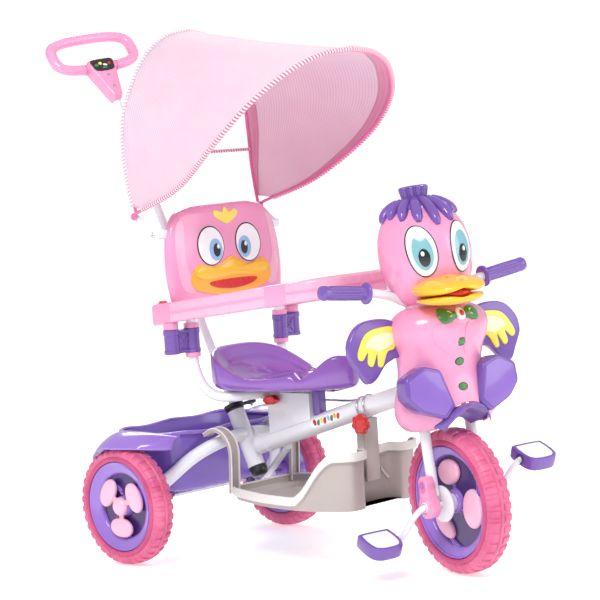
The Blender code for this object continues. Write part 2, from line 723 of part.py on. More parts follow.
# ---------------------------------------------------------------- seat and back
def seat_ring(z, shrink=0.0, count=32):
    """Saddle outline: wide round back, narrow nose forward."""
    points = []
    middle = 0.5 * (SEAT_REAR_X + SEAT_NOSE_X)
    half = 0.5 * (SEAT_NOSE_X - SEAT_REAR_X) - shrink
    for i in range(count):
        t = 2 * math.pi * i / count
        c, s = math.cos(t), math.sin(t)
        forward = 0.5 + 0.5 * c
        width = (SEAT_HALF_WIDTH - shrink) * (1.0 - 0.70 * forward ** 1.35)
        points.append((middle + half * math.copysign(abs(c) ** 0.80, c),
                       width * math.copysign(abs(s) ** 0.80, s), z))
    return points


def seat_top(x, y):
    """Height of the saddle's upper surface."""
    t = (x - SEAT_REAR_X) / (SEAT_NOSE_X - SEAT_REAR_X)
    rim = 0.060 - 0.055 * math.sin(math.pi * min(1.0, t / 0.72)) ** 0.8 if t < 0.72 else 0.0
    back = 0.072 * max(0.0, 1 - t / 0.42) ** 1.3
    nose = 0.056 * math.exp(-((t - 0.93) / 0.13) ** 2)
    side = 0.022 * min(1.0, abs(y) / SEAT_HALF_WIDTH) ** 2 * (1 - t)
    return SEAT_BOTTOM_Z + 0.014 + 0.25 * rim + 0.70 * back + nose * 0.85 + side


def back_rings(grow=0.0):
    """Outlines of the backrest from its lower edge to its rounded top."""
    rings = []
    low, high = BACK_Z
    for t, shrink in ((0, 0.006), (0.10, 0.0), (0.35, -0.004), (0.62, 0.0), (0.82, 0.010),
                      (0.94, 0.030), (1.0, 0.062)):
        bulge = 0.006 * math.sin(math.pi * t)
        rings.append(ellipse(BACK_THICKNESS / 2 + bulge + grow,
                             BACK_HALF_WIDTH - shrink + grow,
                             (BACK_X - 0.010 * t, 0, low + (high - low) * t), 28, 0.62))
    return rings


def make_seat():
    outer = []
    for z, shrink in ((0.0, 0.022), (0.006, 0.007), (0.018, 0.0)):
        outer.append(seat_ring(SEAT_BOTTOM_Z + z, shrink))
    for shrink, lift in ((0.003, -0.004), (0.012, 0.0), (0.030, -0.003), (0.055, -0.006),
                         (0.085, -0.008)):
        outer.append([(x, y, max(seat_top(x, y) + lift, SEAT_BOTTOM_Z + 0.0185))
                      for x, y, _ in seat_ring(0, shrink)])
    add("seat_shell", loft_mesh(outer), "lilac")

    box_low, box_x, box_long, box_half = 0.225, 0.244, 0.106, 0.0160
    bracket = add("seat_bracket", box_mesh((box_long, box_half * 2, 0.0785),
                                           (box_x, 0, box_low + 0.0393), 0.003), "white")
    cut(bracket, tube_mesh([MAIN_REAR, MAIN_FRONT], TUBE_R + GAP, 6))
    slope = math.atan2(MAIN_FRONT.z - MAIN_REAR.z, MAIN_FRONT.x - MAIN_REAR.x)
    skirt = main_axis(box_x) + Vector((0, 0, 0.0115 - 0.040))
    cut(bracket, box_mesh((0.200, 0.060, 0.080 * math.cos(slope))), ROOT, skirt, (0, -slope, 0))
    post = add("seat_post", box_mesh((0.016, 0.020, 0.050), (0.3085, 0, 0.284), 0.002),
               "purple")
    cut(post, tube_mesh([MAIN_REAR, MAIN_FRONT], TUBE_R + GAP, 6))
    add("seat_rail", box_mesh((0.190, 0.040, 0.0030), (0.268, 0, 0.3110 - GAP), 0.0008),
        "black")
    knob_axis = empty("seat_knob_axis", ROOT, (0.214, -box_half - GAP, 0.2905),
                      (math.pi / 2, 0, 0))
    rings = [ellipse(0.0065, 0.0065, (0, 0, 0), 20), ellipse(0.0065, 0.0065, (0, 0, 0.006), 20)]
    for z, a, b in ((0.0075, 0.0165, 0.0080), (0.0105, 0.0180, 0.0092),
                    (0.0175, 0.0180, 0.0092), (0.0200, 0.0160, 0.0074)):
        rings.append(ellipse(a, b, (0, 0, z), 20, 0.8))
    add("seat_knob", loft_mesh(rings), "red", knob_axis)

    corner_z = 0.3020
    right = [(POST_X, -POST_Y, 0.474), (POST_X, -POST_Y, 0.350),
             (POST_X + 0.030, -POST_Y + 0.010, corner_z),
             (0.186, -0.060, corner_z), (0.190, 0, corner_z)]
    path = rounded(right, [0.030, 0.030, 0.030], 3)
    frame = tube("back_frame", path[:-1] + list(reversed(mirrored_y(path))), POST_R,
                 "white", resolution=2)
    cut(frame, tube_mesh([MAIN_REAR, MAIN_FRONT], TUBE_R + GAP, 6))
    cut(frame, box_mesh((0.110, box_half * 2 + 2 * GAP, 0.090),
                        (box_x - GAP, 0, box_low + 0.0393)))
    cut(frame, box_mesh((0.196, 0.0412, 0.020), (0.268, 0, 0.3110 - GAP - 0.0018 + 0.0100)))

    back = add("backrest_panel", loft_mesh(back_rings()), "pink")
    for sign in (-1, 1):
        cut(back, cylinder_mesh(POST_R + 0.0008, 0.05, 16, (POST_X, sign * POST_Y, 0.455)))


# ---------------------------------------------------------------- guard rail
def rail_height(x):
    """Middle height of the guard rail, rising to the front."""
    return 0.460 + (x - RAIL_REAR_X) * math.tan(RAIL_SLOPE) * 0.98


def rail_path():
    """The U of the guard rail, from the right rear end round the front to the left."""
    corner = 0.060
    points = [(RAIL_REAR_X, -RAIL_PIN_Y), (RAIL_FRONT_X - corner, -RAIL_PIN_Y)]
    for k in range(1, 6):
        t = math.radians(15 * k)
        points.append((RAIL_FRONT_X - corner + corner * math.sin(t),
                       -RAIL_PIN_Y + corner * (1 - math.cos(t))))
    points.append((RAIL_FRONT_X, -RAIL_PIN_Y + corner))
    right = [Vector((x, y, rail_height(x))) for x, y in points]
    return right + list(reversed(mirrored_y(right)))


def make_guard():
    path = rail_path()
    half_wide, half_tall, round_off = 0.0125, 0.0185, 0.006
    rings = []
    for i, point in enumerate(path):
        before = path[max(i - 1, 0)]
        after = path[min(i + 1, len(path) - 1)]
        along = (after - before)
        along.z = 0
        along.normalize()
        side = Vector((-along.y, along.x, 0))
        widen = 1.0
        if 0 < i < len(path) - 1:
            into = (point - before).xy.normalized()
            out = (after - point).xy.normalized()
            widen = 1 / max(0.5, math.cos(0.5 * into.angle(out)))
        ring = []
        for a, b in ((-1, -1), (1, -1), (1, 1), (-1, 1)):
            for da, db in (((0, 1), (1, 0)) if a * b > 0 else ((1, 0), (0, 1))):
                across = a * (half_wide - da * round_off) * widen
                up = b * (half_tall - db * round_off)
                ring.append(point + side * across + Vector((0, 0, up)))
        rings.append(ring)
    rail = add("guard_rail", loft_mesh(rings), "pink")
    for side, sign in (("right", -1), ("left", 1)):
        pin_x = POST_X - 0.009
        y = sign * RAIL_PIN_Y
        top = rail_height(pin_x)
        join(rail, cylinder_mesh(0.0085, 0.044, 16, (pin_x, y, top - 0.030)))
        button_x = RAIL_REAR_X + 0.016
        crown = rail_height(button_x) + half_tall
        cut(rail, cylinder_mesh(0.0085, 0.024, 20, (button_x, y, crown + 0.0004)))
        clamp_low, clamp_high = 0.388, 0.4325
        middle = (clamp_low + clamp_high) / 2
        tall = clamp_high - clamp_low
        clamp = add("guard_clamp_" + side,
                    cylinder_mesh(0.0150, tall, 20, (POST_X, sign * POST_Y, middle)),
                    "purple")
        join(clamp, cylinder_mesh(0.0150, tall, 20, (pin_x, y, middle)))
        bridge = box_mesh((0.018, RAIL_PIN_Y - POST_Y, tall - 0.002),
                          (POST_X - 0.0045, sign * (POST_Y + RAIL_PIN_Y) / 2, middle))
        join(clamp, bridge)
        cut(clamp, cylinder_mesh(POST_R + 0.0008, 0.2, 16, (POST_X, sign * POST_Y, middle)))
        cut(clamp, cylinder_mesh(0.0093, 0.2, 16, (pin_x, y, middle)))
        button = empty("guard_button_axis_" + side, ROOT, (button_x, y, crown))
        add("guard_button_" + side,
            turned_mesh([(0, -0.0075), (0.0078, -0.0075), (0.0078, 0.0035),
                         (0.0060, 0.0055), (0, 0.0060)], 16), "red", button)


# ---------------------------------------------------------------- canopy
REAR_BOW = [(0.026, 0.160, 0.648), (0.014, 0.162, 0.715), (0.010, 0.162, 0.785),
            (0.013, 0.151, 0.848), (0.020, 0.110, 0.925), (0.028, 0.060, 0.966),
            (0.031, 0.0, 0.9785)]
FRONT_BOW = [(0.034, 0.1672, 0.648), (0.165, 0.180, 0.690), (0.285, 0.200, 0.764),
             (0.360, 0.184, 0.828), (0.408, 0.132, 0.880), (0.432, 0.068, 0.908),
             (0.438, 0.0, 0.916)]


def bow_points(knots, per_span=2):
    """A whole bow from the right end over the top to the left end."""
    left = smooth(knots, per_span)
    return mirrored_y(left)[:-1] + list(reversed(left))


def clear_share(start, end, bow, gap):
    """How far along a line from its start it comes clear of a bow."""
    for k in range(1, 60):
        t = k / 120
        point = start.lerp(end, t)
        near = min((point - geometry.intersect_point_line(point, a, b)[0]).length
                   if 0 <= geometry.intersect_point_line(point, a, b)[1] <= 1
                   else min((point - a).length, (point - b).length)
                   for a, b in zip(bow, bow[1:]))
        if near >= gap:
            return t
    return None


def canopy_rows():
    """The stretched cloth between the bows, row by row from the rear bow to the front."""
    rear, front = bow_points(REAR_BOW), bow_points(FRONT_BOW)
    edge = BOW_R + CLOTH_THICKNESS / 2 + 0.0020
    columns = []
    for a, b in zip(rear, front):
        first, last = clear_share(a, b, rear, edge), clear_share(b, a, front, edge)
        if first is None or last is None:
            continue
        columns.append((a, b, first, 1 - last))
    rows = []
    steps = 4
    for k in range(steps + 1):
        row = []
        for i, (a, b, first, last) in enumerate(columns):
            t = first + (last - first) * k / steps
            share = math.sin(math.pi * i / (len(columns) - 1))
            row.append(a.lerp(b, t) + Vector((0, 0, 0.004 * math.sin(math.pi * t) * share)))
        rows.append(row)
    return rows


def make_canopy():
    tube("canopy_rear_bow", bow_points(REAR_BOW), BOW_R, "rose", resolution=1)
    front = empty("canopy_front_axis", ROOT, (CANOPY_PIVOT.x, 0, CANOPY_PIVOT.z))
    shift = Vector((CANOPY_PIVOT.x, 0, CANOPY_PIVOT.z))
    tube("canopy_front_bow", [p - shift for p in bow_points(FRONT_BOW)], BOW_R, "rose",
         front, 1)
    add("canopy_cloth", thick_sheet(canopy_rows(), CLOTH_THICKNESS), "cloth")
    for side, sign in (("right", -1), ("left", 1)):
        # a short arm from the backrest's top corner up to the foot of both bows
        low, high = Vector((0.070, 0, 0.606)), Vector((0.026, 0, 0.640))
        along = high - low
        tilt = math.atan2(-along.x, along.z)
        arm = box_mesh((0.013, 0.004, along.length + 0.008), bevel=0.001, segments=1)
        bracket = add("canopy_bracket_" + side, arm, "white", ROOT,
                      (low + high) / 2 + Vector((0, sign * 0.160, 0)), (0, -tilt, 0))
        join(bracket, box_mesh((0.012, 0.036, 0.016),
                               (0.074, sign * 0.1435, 0.6065), 0.001, 1))
        cut(bracket, loft_mesh(back_rings(0.0006)))


# ---------------------------------------------------------------- push handle, parent steering
def make_push_handle():
    tube("push_pole", [(0, 0, 0.004), (0, 0, POLE_LENGTH)], POLE_R, "white", PUSH, 3)
    grip_frame = empty("push_head", PUSH, (0.003, 0, HEAD_FOOT_Z), (0, -HEAD_BEND, 0))
    outline = [(-0.010, 0.000), (0.010, 0.000), (0.022, 0.040), (0.0285, 0.072),
               (0.024, 0.084), (-0.024, 0.084), (-0.0285, 0.072), (-0.022, 0.040)]

    def upright(grow, thick):
        plate = slab_mesh([(y * grow, z) for y, z in outline], thick,
                          0.004 if grow == 1 else 0)
        plate.transform(Matrix(((0, 0, -1, thick / 2), (-1, 0, 0, 0), (0, 1, 0, 0),
                                (0, 0, 0, 1))))
        return plate

    housing = add("push_housing", upright(1, 0.029), "pink", grip_frame)
    cut(housing, cylinder_mesh(POLE_R + 0.0008, 0.080, 16, (0, 0, POLE_LENGTH - 0.0388)),
        PUSH)
    a, b = HANDLE_WIDTH / 2 - HANDLE_TUBE_R, HANDLE_HEIGHT / 2 - HANDLE_TUBE_R
    path = [Vector((0, y, z)) for y, z, _ in
            ellipse(a, b, (0, HANDLE_MIDDLE_Z, 0), 24, 0.62)]
    grip = tube("push_grip", path, HANDLE_TUBE_R, "pink", grip_frame, 2, closed=True)
    cut(grip, upright(1.02, 0.030), grip_frame)

    lever_z = SOCKET_LENGTH + GAP
    lever = add("steer_lever", cylinder_mesh(0.0190, 0.0075, 24,
                                             (0, 0, lever_z + 0.00375)), "black", PUSH)
    join(lever, box_mesh((0.012, LEVER_ARM, 0.0030), (0, LEVER_ARM / 2 + 0.004,
                                                      lever_z + 0.0040), 0.0008), PUSH)
    cut(lever, cylinder_mesh(POLE_R + GAP, 0.05, 20, (0, 0, lever_z)), PUSH)
    cut(lever, cylinder_mesh(LINK_R + 0.0008, 0.02, 12, (0, LEVER_ARM - 0.002, lever_z)),
        PUSH)

    # the link hooks into the lever, runs along the left of the main tube and ends at the fork
    pole_turn = Euler((0, -POLE_LEAN, 0)).to_matrix() @ Euler((0, 0, REST_STEER)).to_matrix()
    head_turn = Euler((0, -HEAD_RAKE, 0)).to_matrix() @ Euler((0, 0, REST_STEER)).to_matrix()
    eye = POLE_FOOT + pole_turn @ Vector((0, LEVER_ARM - 0.002, lever_z + 0.004))
    along = pole_turn @ Vector((0, 0, 1))
    tab = Vector((WHEELBASE, 0, FRONT_AXLE_Z)) + head_turn @ Vector((0, FORK_TAB_Y, 0.186))
    top_hook = eye + along * 0.012
    low_hook = eye - along * 0.008
    start = top_hook + Vector((0.012, 0, 0.001))
    link = [low_hook, top_hook, start + Vector((0.03, 0, -0.004)),
            Vector((0.350, eye.y + 0.001, 0.285)), tab + Vector((-0.0085, 0, 0))]
    tube("link_rod", rounded(link, [0.006, 0.012, 0.02], 3), LINK_R, "steel", resolution=1)


# ---------------------------------------------------------------- footrest tray
TRAY_OUTLINE = [(0.150, 0.086), (0.200, 0.103), (0.262, 0.122), (0.330, 0.129),
                (0.392, 0.124), (0.436, 0.108), (0.461, 0.088), (0.464, 0.060),
                (0.458, 0.044), (0.430, 0.040)]


def tray_rim(x):
    """Height of the tray's rim: low beside the feet, high at the front."""
    t = min(max((x - 0.345) / 0.090, 0.0), 1.0)
    return 0.134 + 0.080 * t * t * (3 - 2 * t)


def tray_ring(inset, height):
    """Tray outline pulled in by an inset, at a height function of X."""
    left = [Vector((x, y, 0)) for x, y in TRAY_OUTLINE]
    knots = [Vector((0.146, 0.050, 0))] + left + [Vector((0.426, 0.020, 0))]
    ring = mirrored_y(knots) + list(reversed(knots))
    out = []
    count = len(ring)
    for i, point in enumerate(ring):
        before, after = ring[i - 1], ring[(i + 1) % count]
        along = (after - before).normalized()
        inward = Vector((-along.y, along.x, 0))
        moved = point + inward * inset
        out.append((moved.x, moved.y, height(moved.x)))
    return out


def make_tray():
    floor = TRAY_FLOOR_Z
    band, step = 0.019, 0.006          # the raised band round the rim
    wall = TRAY_WALL

    def low(x):
        return max(tray_rim(x) - band, floor + 0.003)

    shell = loft_mesh([tray_ring(step + 0.008, lambda x: floor),
                       tray_ring(step + 0.001, lambda x: floor + 0.0025),
                       tray_ring(step, low),
                       tray_ring(0.0, lambda x: low(x) + 0.003),
                       tray_ring(0.0, tray_rim)])
    tray = add("footrest_tray", shell, "beige")
    room = loft_mesh([tray_ring(step + 0.008 + wall, lambda x: floor + wall),
                      tray_ring(step + wall, lambda x: low(x) + 0.0035),
                      tray_ring(wall, lambda x: low(x) + 0.0065),
                      tray_ring(wall, lambda x: tray_rim(x) - 0.001),
                      tray_ring(wall, lambda x: tray_rim(x) + 0.03)])
    cut(tray, room)
    for sign in (-1, 1):
        y = sign * 0.080
        strap = smooth([(0.153, y, 0.130), (0.156, y, 0.170), (0.156, y, 0.205),
                        (0.142, y, 0.228), (0.118, y, 0.2365), (0.092, y, 0.226)], 3)
        rings = []
        for i, point in enumerate(strap):
            along = (strap[min(i + 1, len(strap) - 1)] - strap[max(i - 1, 0)]).normalized()
            out = Vector((along.z, 0, -along.x))
            rings.append([point + out * 0.002 + Vector((0, -0.011, 0)),
                          point + out * 0.002 + Vector((0, 0.011, 0)),
                          point - out * 0.002 + Vector((0, 0.011, 0)),
                          point - out * 0.002 + Vector((0, -0.011, 0))])
        join(tray, loft_mesh(rings))
    arm_top = main_axis(0.428).z - TUBE_R * 1.06 - 0.0012
    join(tray, box_mesh((0.005, 0.0360, arm_top - 0.150), (0.4285, 0, (arm_top + 0.150) / 2)))
    for sign in (-1, 1):
        join(tray, box_mesh((0.020, 0.0036, arm_top - 0.168),
                            (0.4205, sign * 0.0160, (arm_top + 0.168) / 2)))
    cut(tray, tube_mesh([MAIN_REAR, MAIN_FRONT], TUBE_R + GAP, 6))

    # U-bolt: two loops over the main tube joined by the plate that the knob pulls
    along = (MAIN_FRONT - MAIN_REAR).normalized()
    up = Vector((-along.z, 0, along.x))
    wire = 0.0018
    reach = TUBE_R + wire + GAP * 2
    loops = []
    for x in (0.418, 0.434):
        middle = main_axis(x)
        path = [middle - up * 0.030 + Vector((0, -reach, 0))]
        for k in range(9):
            t = math.radians(180 - 22.5 * k)
            path.append(middle + Vector((0, math.cos(t), 0)) * reach + up * math.sin(t) * reach)
        path.append(middle - up * 0.012 + Vector((0, reach, 0)))
        loops.append(path)
    band = tube("tray_band", loops[0], wire, "black", resolution=1)
    join(band, tube_mesh(loops[1], wire, 1))
    low = main_axis(0.426) - up * 0.0275
    plate = box_mesh((0.028, 0.0036, 0.010))
    tilt = math.atan2(along.z, along.x)
    join(band, plate, ROOT, low + Vector((0, -reach, 0)), (0, -tilt, 0))
    knob = empty("tray_knob_axis", ROOT, low + Vector((0, -reach - 0.0018 - GAP, 0)),
                 (math.pi / 2, 0, 0))
    lobes = 7
    rings = []
    for z, radius in ((0.0, 0.013), (0.002, 0.0175), (0.011, 0.0175), (0.0135, 0.0135)):
        ring = []
        for i in range(lobes * 6):
            t = 2 * math.pi * i / (lobes * 6)
            ring.append(((radius + 0.0016 * math.cos(lobes * t)) * math.cos(t),
                         (radius + 0.0016 * math.cos(lobes * t)) * math.sin(t), z))
        rings.append(ring)
    add("tray_knob", loft_mesh(rings), "red", knob)


# ---------------------------------------------------------------- rear basket
def make_basket():
    low, high = 0.121, 0.2330
    rows = []
    for z, front, rear, half in ((low, 0.046, -0.066, 0.118), (low + 0.008, 0.052, -0.076, 0.130),
                                 (0.180, 0.068, -0.088, 0.148), (high, 0.078, -0.094, 0.158)):
        rows.append(ellipse((front - rear) / 2, half, ((front + rear) / 2, 0, z), 28, 0.45))
    basket = add("basket", loft_mesh(rows), "purple")
    # flared rim: a fender over each wheel, dropping behind it
    for sign in (-1, 1):
        sheet = []
        for k in range(9):
            x = 0.0845 - 0.1835 * k / 8
            bow = max(0.0, 1 - abs((x + 0.006) / 0.0935) ** 2.6) ** (1 / 2.6)
            outer = 0.150 + 0.092 * bow
            fall = 0.046 * max(0.0, (-0.016 - x) / 0.083) ** 1.6
            row = []
            for j in range(4):
                s = j / 3
                y = sign * (0.1435 + (outer - 0.1435) * s)
                row.append((x, y, 0.2335 - fall * (0.30 + 0.70 * s) - 0.009 * s ** 3))
            sheet.append(row)
        join(basket, thick_sheet(sheet, 0.0038))
    inner = []
    for z, front, rear, half in ((low + 0.003, 0.041, -0.061, 0.113),
                                 (low + 0.011, 0.048, -0.072, 0.126),
                                 (0.181, 0.0645, -0.0845, 0.1445),
                                 (high + 0.002, 0.0746, -0.0906, 0.1546),
                                 (high + 0.060, 0.0746, -0.0906, 0.1546)):
        inner.append(ellipse((front - rear) / 2, half, ((front + rear) / 2, 0, z), 28, 0.45))
    cut(basket, loft_mesh(inner))
    arch = [(0.0, -ARCH_FOOT_Y, REAR_RADIUS + AXLE_R + ARCH_R * 0.4),
            (0.034, -0.146, 0.143), (0.078, -0.108, 0.188), (0.106, -0.062, 0.212),
            (0.115, -0.004, 0.220)]
    clear = smooth(arch, 4)
    cut(basket, tube_mesh(clear, ARCH_R + 0.0008, 3))
    cut(basket, tube_mesh(mirrored_y(clear), ARCH_R + 0.0008, 3))


make_frame()
make_rear_wheels()
make_front_wheel()
make_fork()
make_duck()
make_seat()
make_guard()
make_canopy()
make_push_handle()
make_tray()
make_basket()
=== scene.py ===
"""Looks of the children's tricycle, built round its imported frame.

Metres.  Shapes are written in the design frame, whose zero is the middle of the rear axle line at
ground level (+X forward, +Y the rider's left, +Z up); ROOT takes them to the frame's own origin.
"""

import math
import bmesh
import bpy
from mathutils import Matrix, Vector
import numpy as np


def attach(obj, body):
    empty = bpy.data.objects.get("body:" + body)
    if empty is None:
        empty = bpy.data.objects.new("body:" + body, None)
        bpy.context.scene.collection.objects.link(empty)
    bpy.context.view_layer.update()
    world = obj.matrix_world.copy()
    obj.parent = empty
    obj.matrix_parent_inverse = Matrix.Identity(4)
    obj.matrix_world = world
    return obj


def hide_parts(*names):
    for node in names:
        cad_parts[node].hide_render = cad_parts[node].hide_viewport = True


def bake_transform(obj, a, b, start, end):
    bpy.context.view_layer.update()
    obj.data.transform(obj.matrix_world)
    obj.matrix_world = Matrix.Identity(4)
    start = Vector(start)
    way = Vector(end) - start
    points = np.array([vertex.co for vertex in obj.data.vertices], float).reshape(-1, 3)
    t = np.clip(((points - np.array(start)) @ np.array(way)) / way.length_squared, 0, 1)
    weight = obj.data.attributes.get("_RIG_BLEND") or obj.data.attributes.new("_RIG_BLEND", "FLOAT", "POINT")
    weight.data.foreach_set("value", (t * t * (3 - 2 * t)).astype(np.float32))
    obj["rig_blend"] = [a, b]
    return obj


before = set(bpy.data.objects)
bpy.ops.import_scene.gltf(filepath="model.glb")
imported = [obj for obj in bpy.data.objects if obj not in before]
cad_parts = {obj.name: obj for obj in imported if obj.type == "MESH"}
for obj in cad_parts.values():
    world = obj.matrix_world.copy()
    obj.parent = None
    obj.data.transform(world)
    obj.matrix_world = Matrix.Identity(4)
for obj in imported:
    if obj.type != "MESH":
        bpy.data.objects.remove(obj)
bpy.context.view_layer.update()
TAU = 2 * math.pi
SIDES = (("right", -1), ("left", 1))

# ---------------------------------------------------------------- frames of the moving bodies
MIDDLE = 0.2256                  # design X of the footprint's middle
WHEELBASE, FRONT_AXLE_Z = 0.624, 0.1272
HEAD_RAKE, POLE_LEAN, REST_STEER = 7, 24.6, 14.8   # degrees
REAR_AXLE_Z, HALF_TRACK = 0.110, 0.210


def spin(degrees, axis):
    return Matrix.Rotation(math.radians(degrees), 4, axis)


ROOT = Matrix.Translation((-MIDDLE, 0, 0))
HEAD = ROOT @ Matrix.Translation((WHEELBASE, 0, FRONT_AXLE_Z)) @ spin(-HEAD_RAKE, "Y")
STEER = HEAD @ spin(-REST_STEER, "Z")
POLE = ROOT @ Matrix.Translation((0.1385, 0, 0.1535)) @ spin(-POLE_LEAN, "Y")
PUSH = POLE @ spin(-REST_STEER, "Z")
HANDLE = PUSH @ Matrix.Translation((0.003, 0, 0.790)) @ spin(-13, "Y")


def rear_wheel(side):
    """Frame of a rear wheel; +Y points outwards."""
    turn = Matrix.Identity(4) if side > 0 else spin(180, "Z")
    return ROOT @ Matrix.Translation((0, side * HALF_TRACK, REAR_AXLE_Z)) @ turn


# ---------------------------------------------------------------- materials
def new_shader(name, roughness=0.35, **sockets):
    """A material and its parts: node tree and Principled shader."""
    made = bpy.data.materials.new(name)
    made.use_nodes = True
    tree = made.node_tree
    shader = tree.nodes["Principled BSDF"]
    shader.inputs["Roughness"].default_value = roughness
    for key, value in sockets.items():
        shader.inputs[key.replace("_", " ")].default_value = value
    return made, tree, shader


def node(tree, kind, **values):
    """A new node; each value is one of its own settings or else a socket."""
    made = tree.nodes.new(kind)
    for key, value in values.items():
        if hasattr(made, key):
            setattr(made, key, value)
        else:
            made.inputs[key.replace("_", " ")].default_value = value
    return made


def noise(tree, scale, detail=3.0, stretch=None):
    """Noise in object coordinates, optionally stretched."""
    place = node(tree, "ShaderNodeTexCoord")
    made = node(tree, "ShaderNodeTexNoise", Scale=scale, Detail=detail)
    source = place.outputs["Object"]
    if stretch:
        mapping = node(tree, "ShaderNodeMapping")
        mapping.inputs["Scale"].default_value = stretch
        tree.links.new(source, mapping.inputs["Vector"])
        source = mapping.outputs["Vector"]
    tree.links.new(source, made.inputs["Vector"])
    return made


def ramp(tree, source, stops):
    """A colour ramp over a source value, from (place, colour) stops."""
    made = node(tree, "ShaderNodeValToRGB")
    tree.links.new(source, made.inputs["Fac"])
    points = made.color_ramp.elements
    while len(points) < len(stops):
        points.new(0.5)
    for point, (place, colour) in zip(points, stops):
        point.position = place
        point.color = (*colour[:3], 1)
    return made.outputs["Color"]


def shade(colour, factor):
    return tuple(min(1.0, channel * factor) for channel in colour[:3])


def add_bump(tree, shader, source, strength, distance):
    bump = node(tree, "ShaderNodeBump", Strength=strength, Distance=distance)
    tree.links.new(source, bump.inputs["Height"])
    tree.links.new(bump.outputs["Normal"], shader.inputs["Normal"])


def vary_roughness(tree, shader, source, low, high):
    spread = node(tree, "ShaderNodeMapRange")
    spread.inputs["To Min"].default_value = low
    spread.inputs["To Max"].default_value = high
    tree.links.new(source, spread.inputs["Value"])
    tree.links.new(spread.outputs["Result"], shader.inputs["Roughness"])


def moulded(name, colour, roughness=0.22, coat=0.4, grain=420.0, depth=0.00008, cloud=0.07,
            subsurface=0.0):
    """Moulded plastic: slow tint drift, faint flow clouds, fine surface grain."""
    made, tree, shader = new_shader(name, roughness, Coat_Weight=coat, Coat_Roughness=0.06)
    shader.inputs["IOR"].default_value = 1.49
    if subsurface:
        shader.inputs["Subsurface Weight"].default_value = subsurface
        shader.inputs["Subsurface Scale"].default_value = 0.01
    slow = noise(tree, 7.0, 2.0)
    colours = ramp(tree, slow.outputs["Fac"], ((0.3, shade(colour, 1 - cloud)),
                                               (0.7, shade(colour, 1 + cloud))))
    tree.links.new(colours, shader.inputs["Base Color"])
    fine = noise(tree, grain, 2.0)
    add_bump(tree, shader, fine.outputs["Fac"], 0.35, depth)
    vary_roughness(tree, shader, noise(tree, 38.0).outputs["Fac"], roughness * 0.8,
                   roughness * 1.35)
    return made


def painted(name, colour, roughness=0.2):
    """Powder-coated steel: orange peel under a clear gloss."""
    made, tree, shader = new_shader(name, roughness, Coat_Weight=0.5, Coat_Roughness=0.08)
    slow = noise(tree, 9.0, 2.0)
    colours = ramp(tree, slow.outputs["Fac"], ((0.3, shade(colour, 0.955)),
                                               (0.7, shade(colour, 1.02))))
    tree.links.new(colours, shader.inputs["Base Color"])
    add_bump(tree, shader, noise(tree, 260.0, 1.0).outputs["Fac"], 0.22, 0.00015)
    vary_roughness(tree, shader, noise(tree, 60.0).outputs["Fac"], roughness * 0.8,
                   roughness * 1.3)
    return made


def metal(name, colour, roughness=0.25):
    made, tree, shader = new_shader(name, roughness, Metallic=1.0)
    brushed = noise(tree, 60.0, 4.0, (1, 1, 14))
    colours = ramp(tree, brushed.outputs["Fac"], ((0.35, shade(colour, 0.82)),
                                                  (0.65, shade(colour, 1.08))))
    tree.links.new(colours, shader.inputs["Base Color"])
    vary_roughness(tree, shader, brushed.outputs["Fac"], roughness * 0.7, roughness * 1.4)
    add_bump(tree, shader, brushed.outputs["Fac"], 0.15, 0.0001)
    return made


def rubbery(name, colour, colour_low):
    """Foam tyre: matt, slightly mottled."""
    made, tree, shader = new_shader(name, 0.5, Coat_Weight=0.12, Coat_Roughness=0.3)
    mottle = noise(tree, 24.0, 5.0)
    colours = ramp(tree, mottle.outputs["Fac"], ((0.32, colour_low), (0.68, colour)))
    tree.links.new(colours, shader.inputs["Base Color"])
    add_bump(tree, shader, noise(tree, 900.0, 2.0).outputs["Fac"], 0.5, 0.00018)
    vary_roughness(tree, shader, mottle.outputs["Fac"], 0.36, 0.6)
    return made


def striped_cloth(name, ground, stripe, pitch):
    """Light polyester with woven pinstripes along UV u, spaced in metres along v."""
    made, tree, shader = new_shader(name, 0.75, Sheen_Weight=0.35, Sheen_Roughness=0.4)
    place = node(tree, "ShaderNodeTexCoord")
    split = node(tree, "ShaderNodeSeparateXYZ")
    tree.links.new(place.outputs["UV"], split.inputs["Vector"])
    count = node(tree, "ShaderNodeMath", operation="MULTIPLY")
    count.inputs[1].default_value = 1 / pitch
    tree.links.new(split.outputs["Y"], count.inputs[0])
    part = node(tree, "ShaderNodeMath", operation="FRACT")
    tree.links.new(count.outputs[0], part.inputs[0])
    bands = ramp(tree, part.outputs[0], ((0.0, ground), (0.50, ground), (0.62, stripe),
                                         (0.84, stripe), (0.96, ground)))
    drift = noise(tree, 16.0, 3.0)
    tint = node(tree, "ShaderNodeMix", data_type="RGBA", blend_type="MULTIPLY")
    tint.inputs["Factor"].default_value = 1.0
    tree.links.new(bands, tint.inputs["A"])
    tree.links.new(ramp(tree, drift.outputs["Fac"], ((0.3, (0.93, 0.93, 0.95)),
                                                     (0.7, (1, 1, 1)))), tint.inputs["B"])
    tree.links.new(tint.outputs["Result"], shader.inputs["Base Color"])
    weave_scale = 1700.0 / 6.0
    warp = node(tree, "ShaderNodeTexWave", Scale=weave_scale, Distortion=0.4)
    weft = node(tree, "ShaderNodeTexWave", Scale=weave_scale, Distortion=0.4,
                bands_direction="Y")
    for wave in (warp, weft):
        tree.links.new(place.outputs["UV"], wave.inputs["Vector"])
    both = node(tree, "ShaderNodeMath", operation="ADD")
    tree.links.new(warp.outputs["Fac"], both.inputs[0])
    tree.links.new(weft.outputs["Fac"], both.inputs[1])
    add_bump(tree, shader, both.outputs[0], 0.35, 0.0002)
    shader.inputs["Subsurface Weight"].default_value = 0.25
    shader.inputs["Subsurface Scale"].default_value = 0.004
    return made


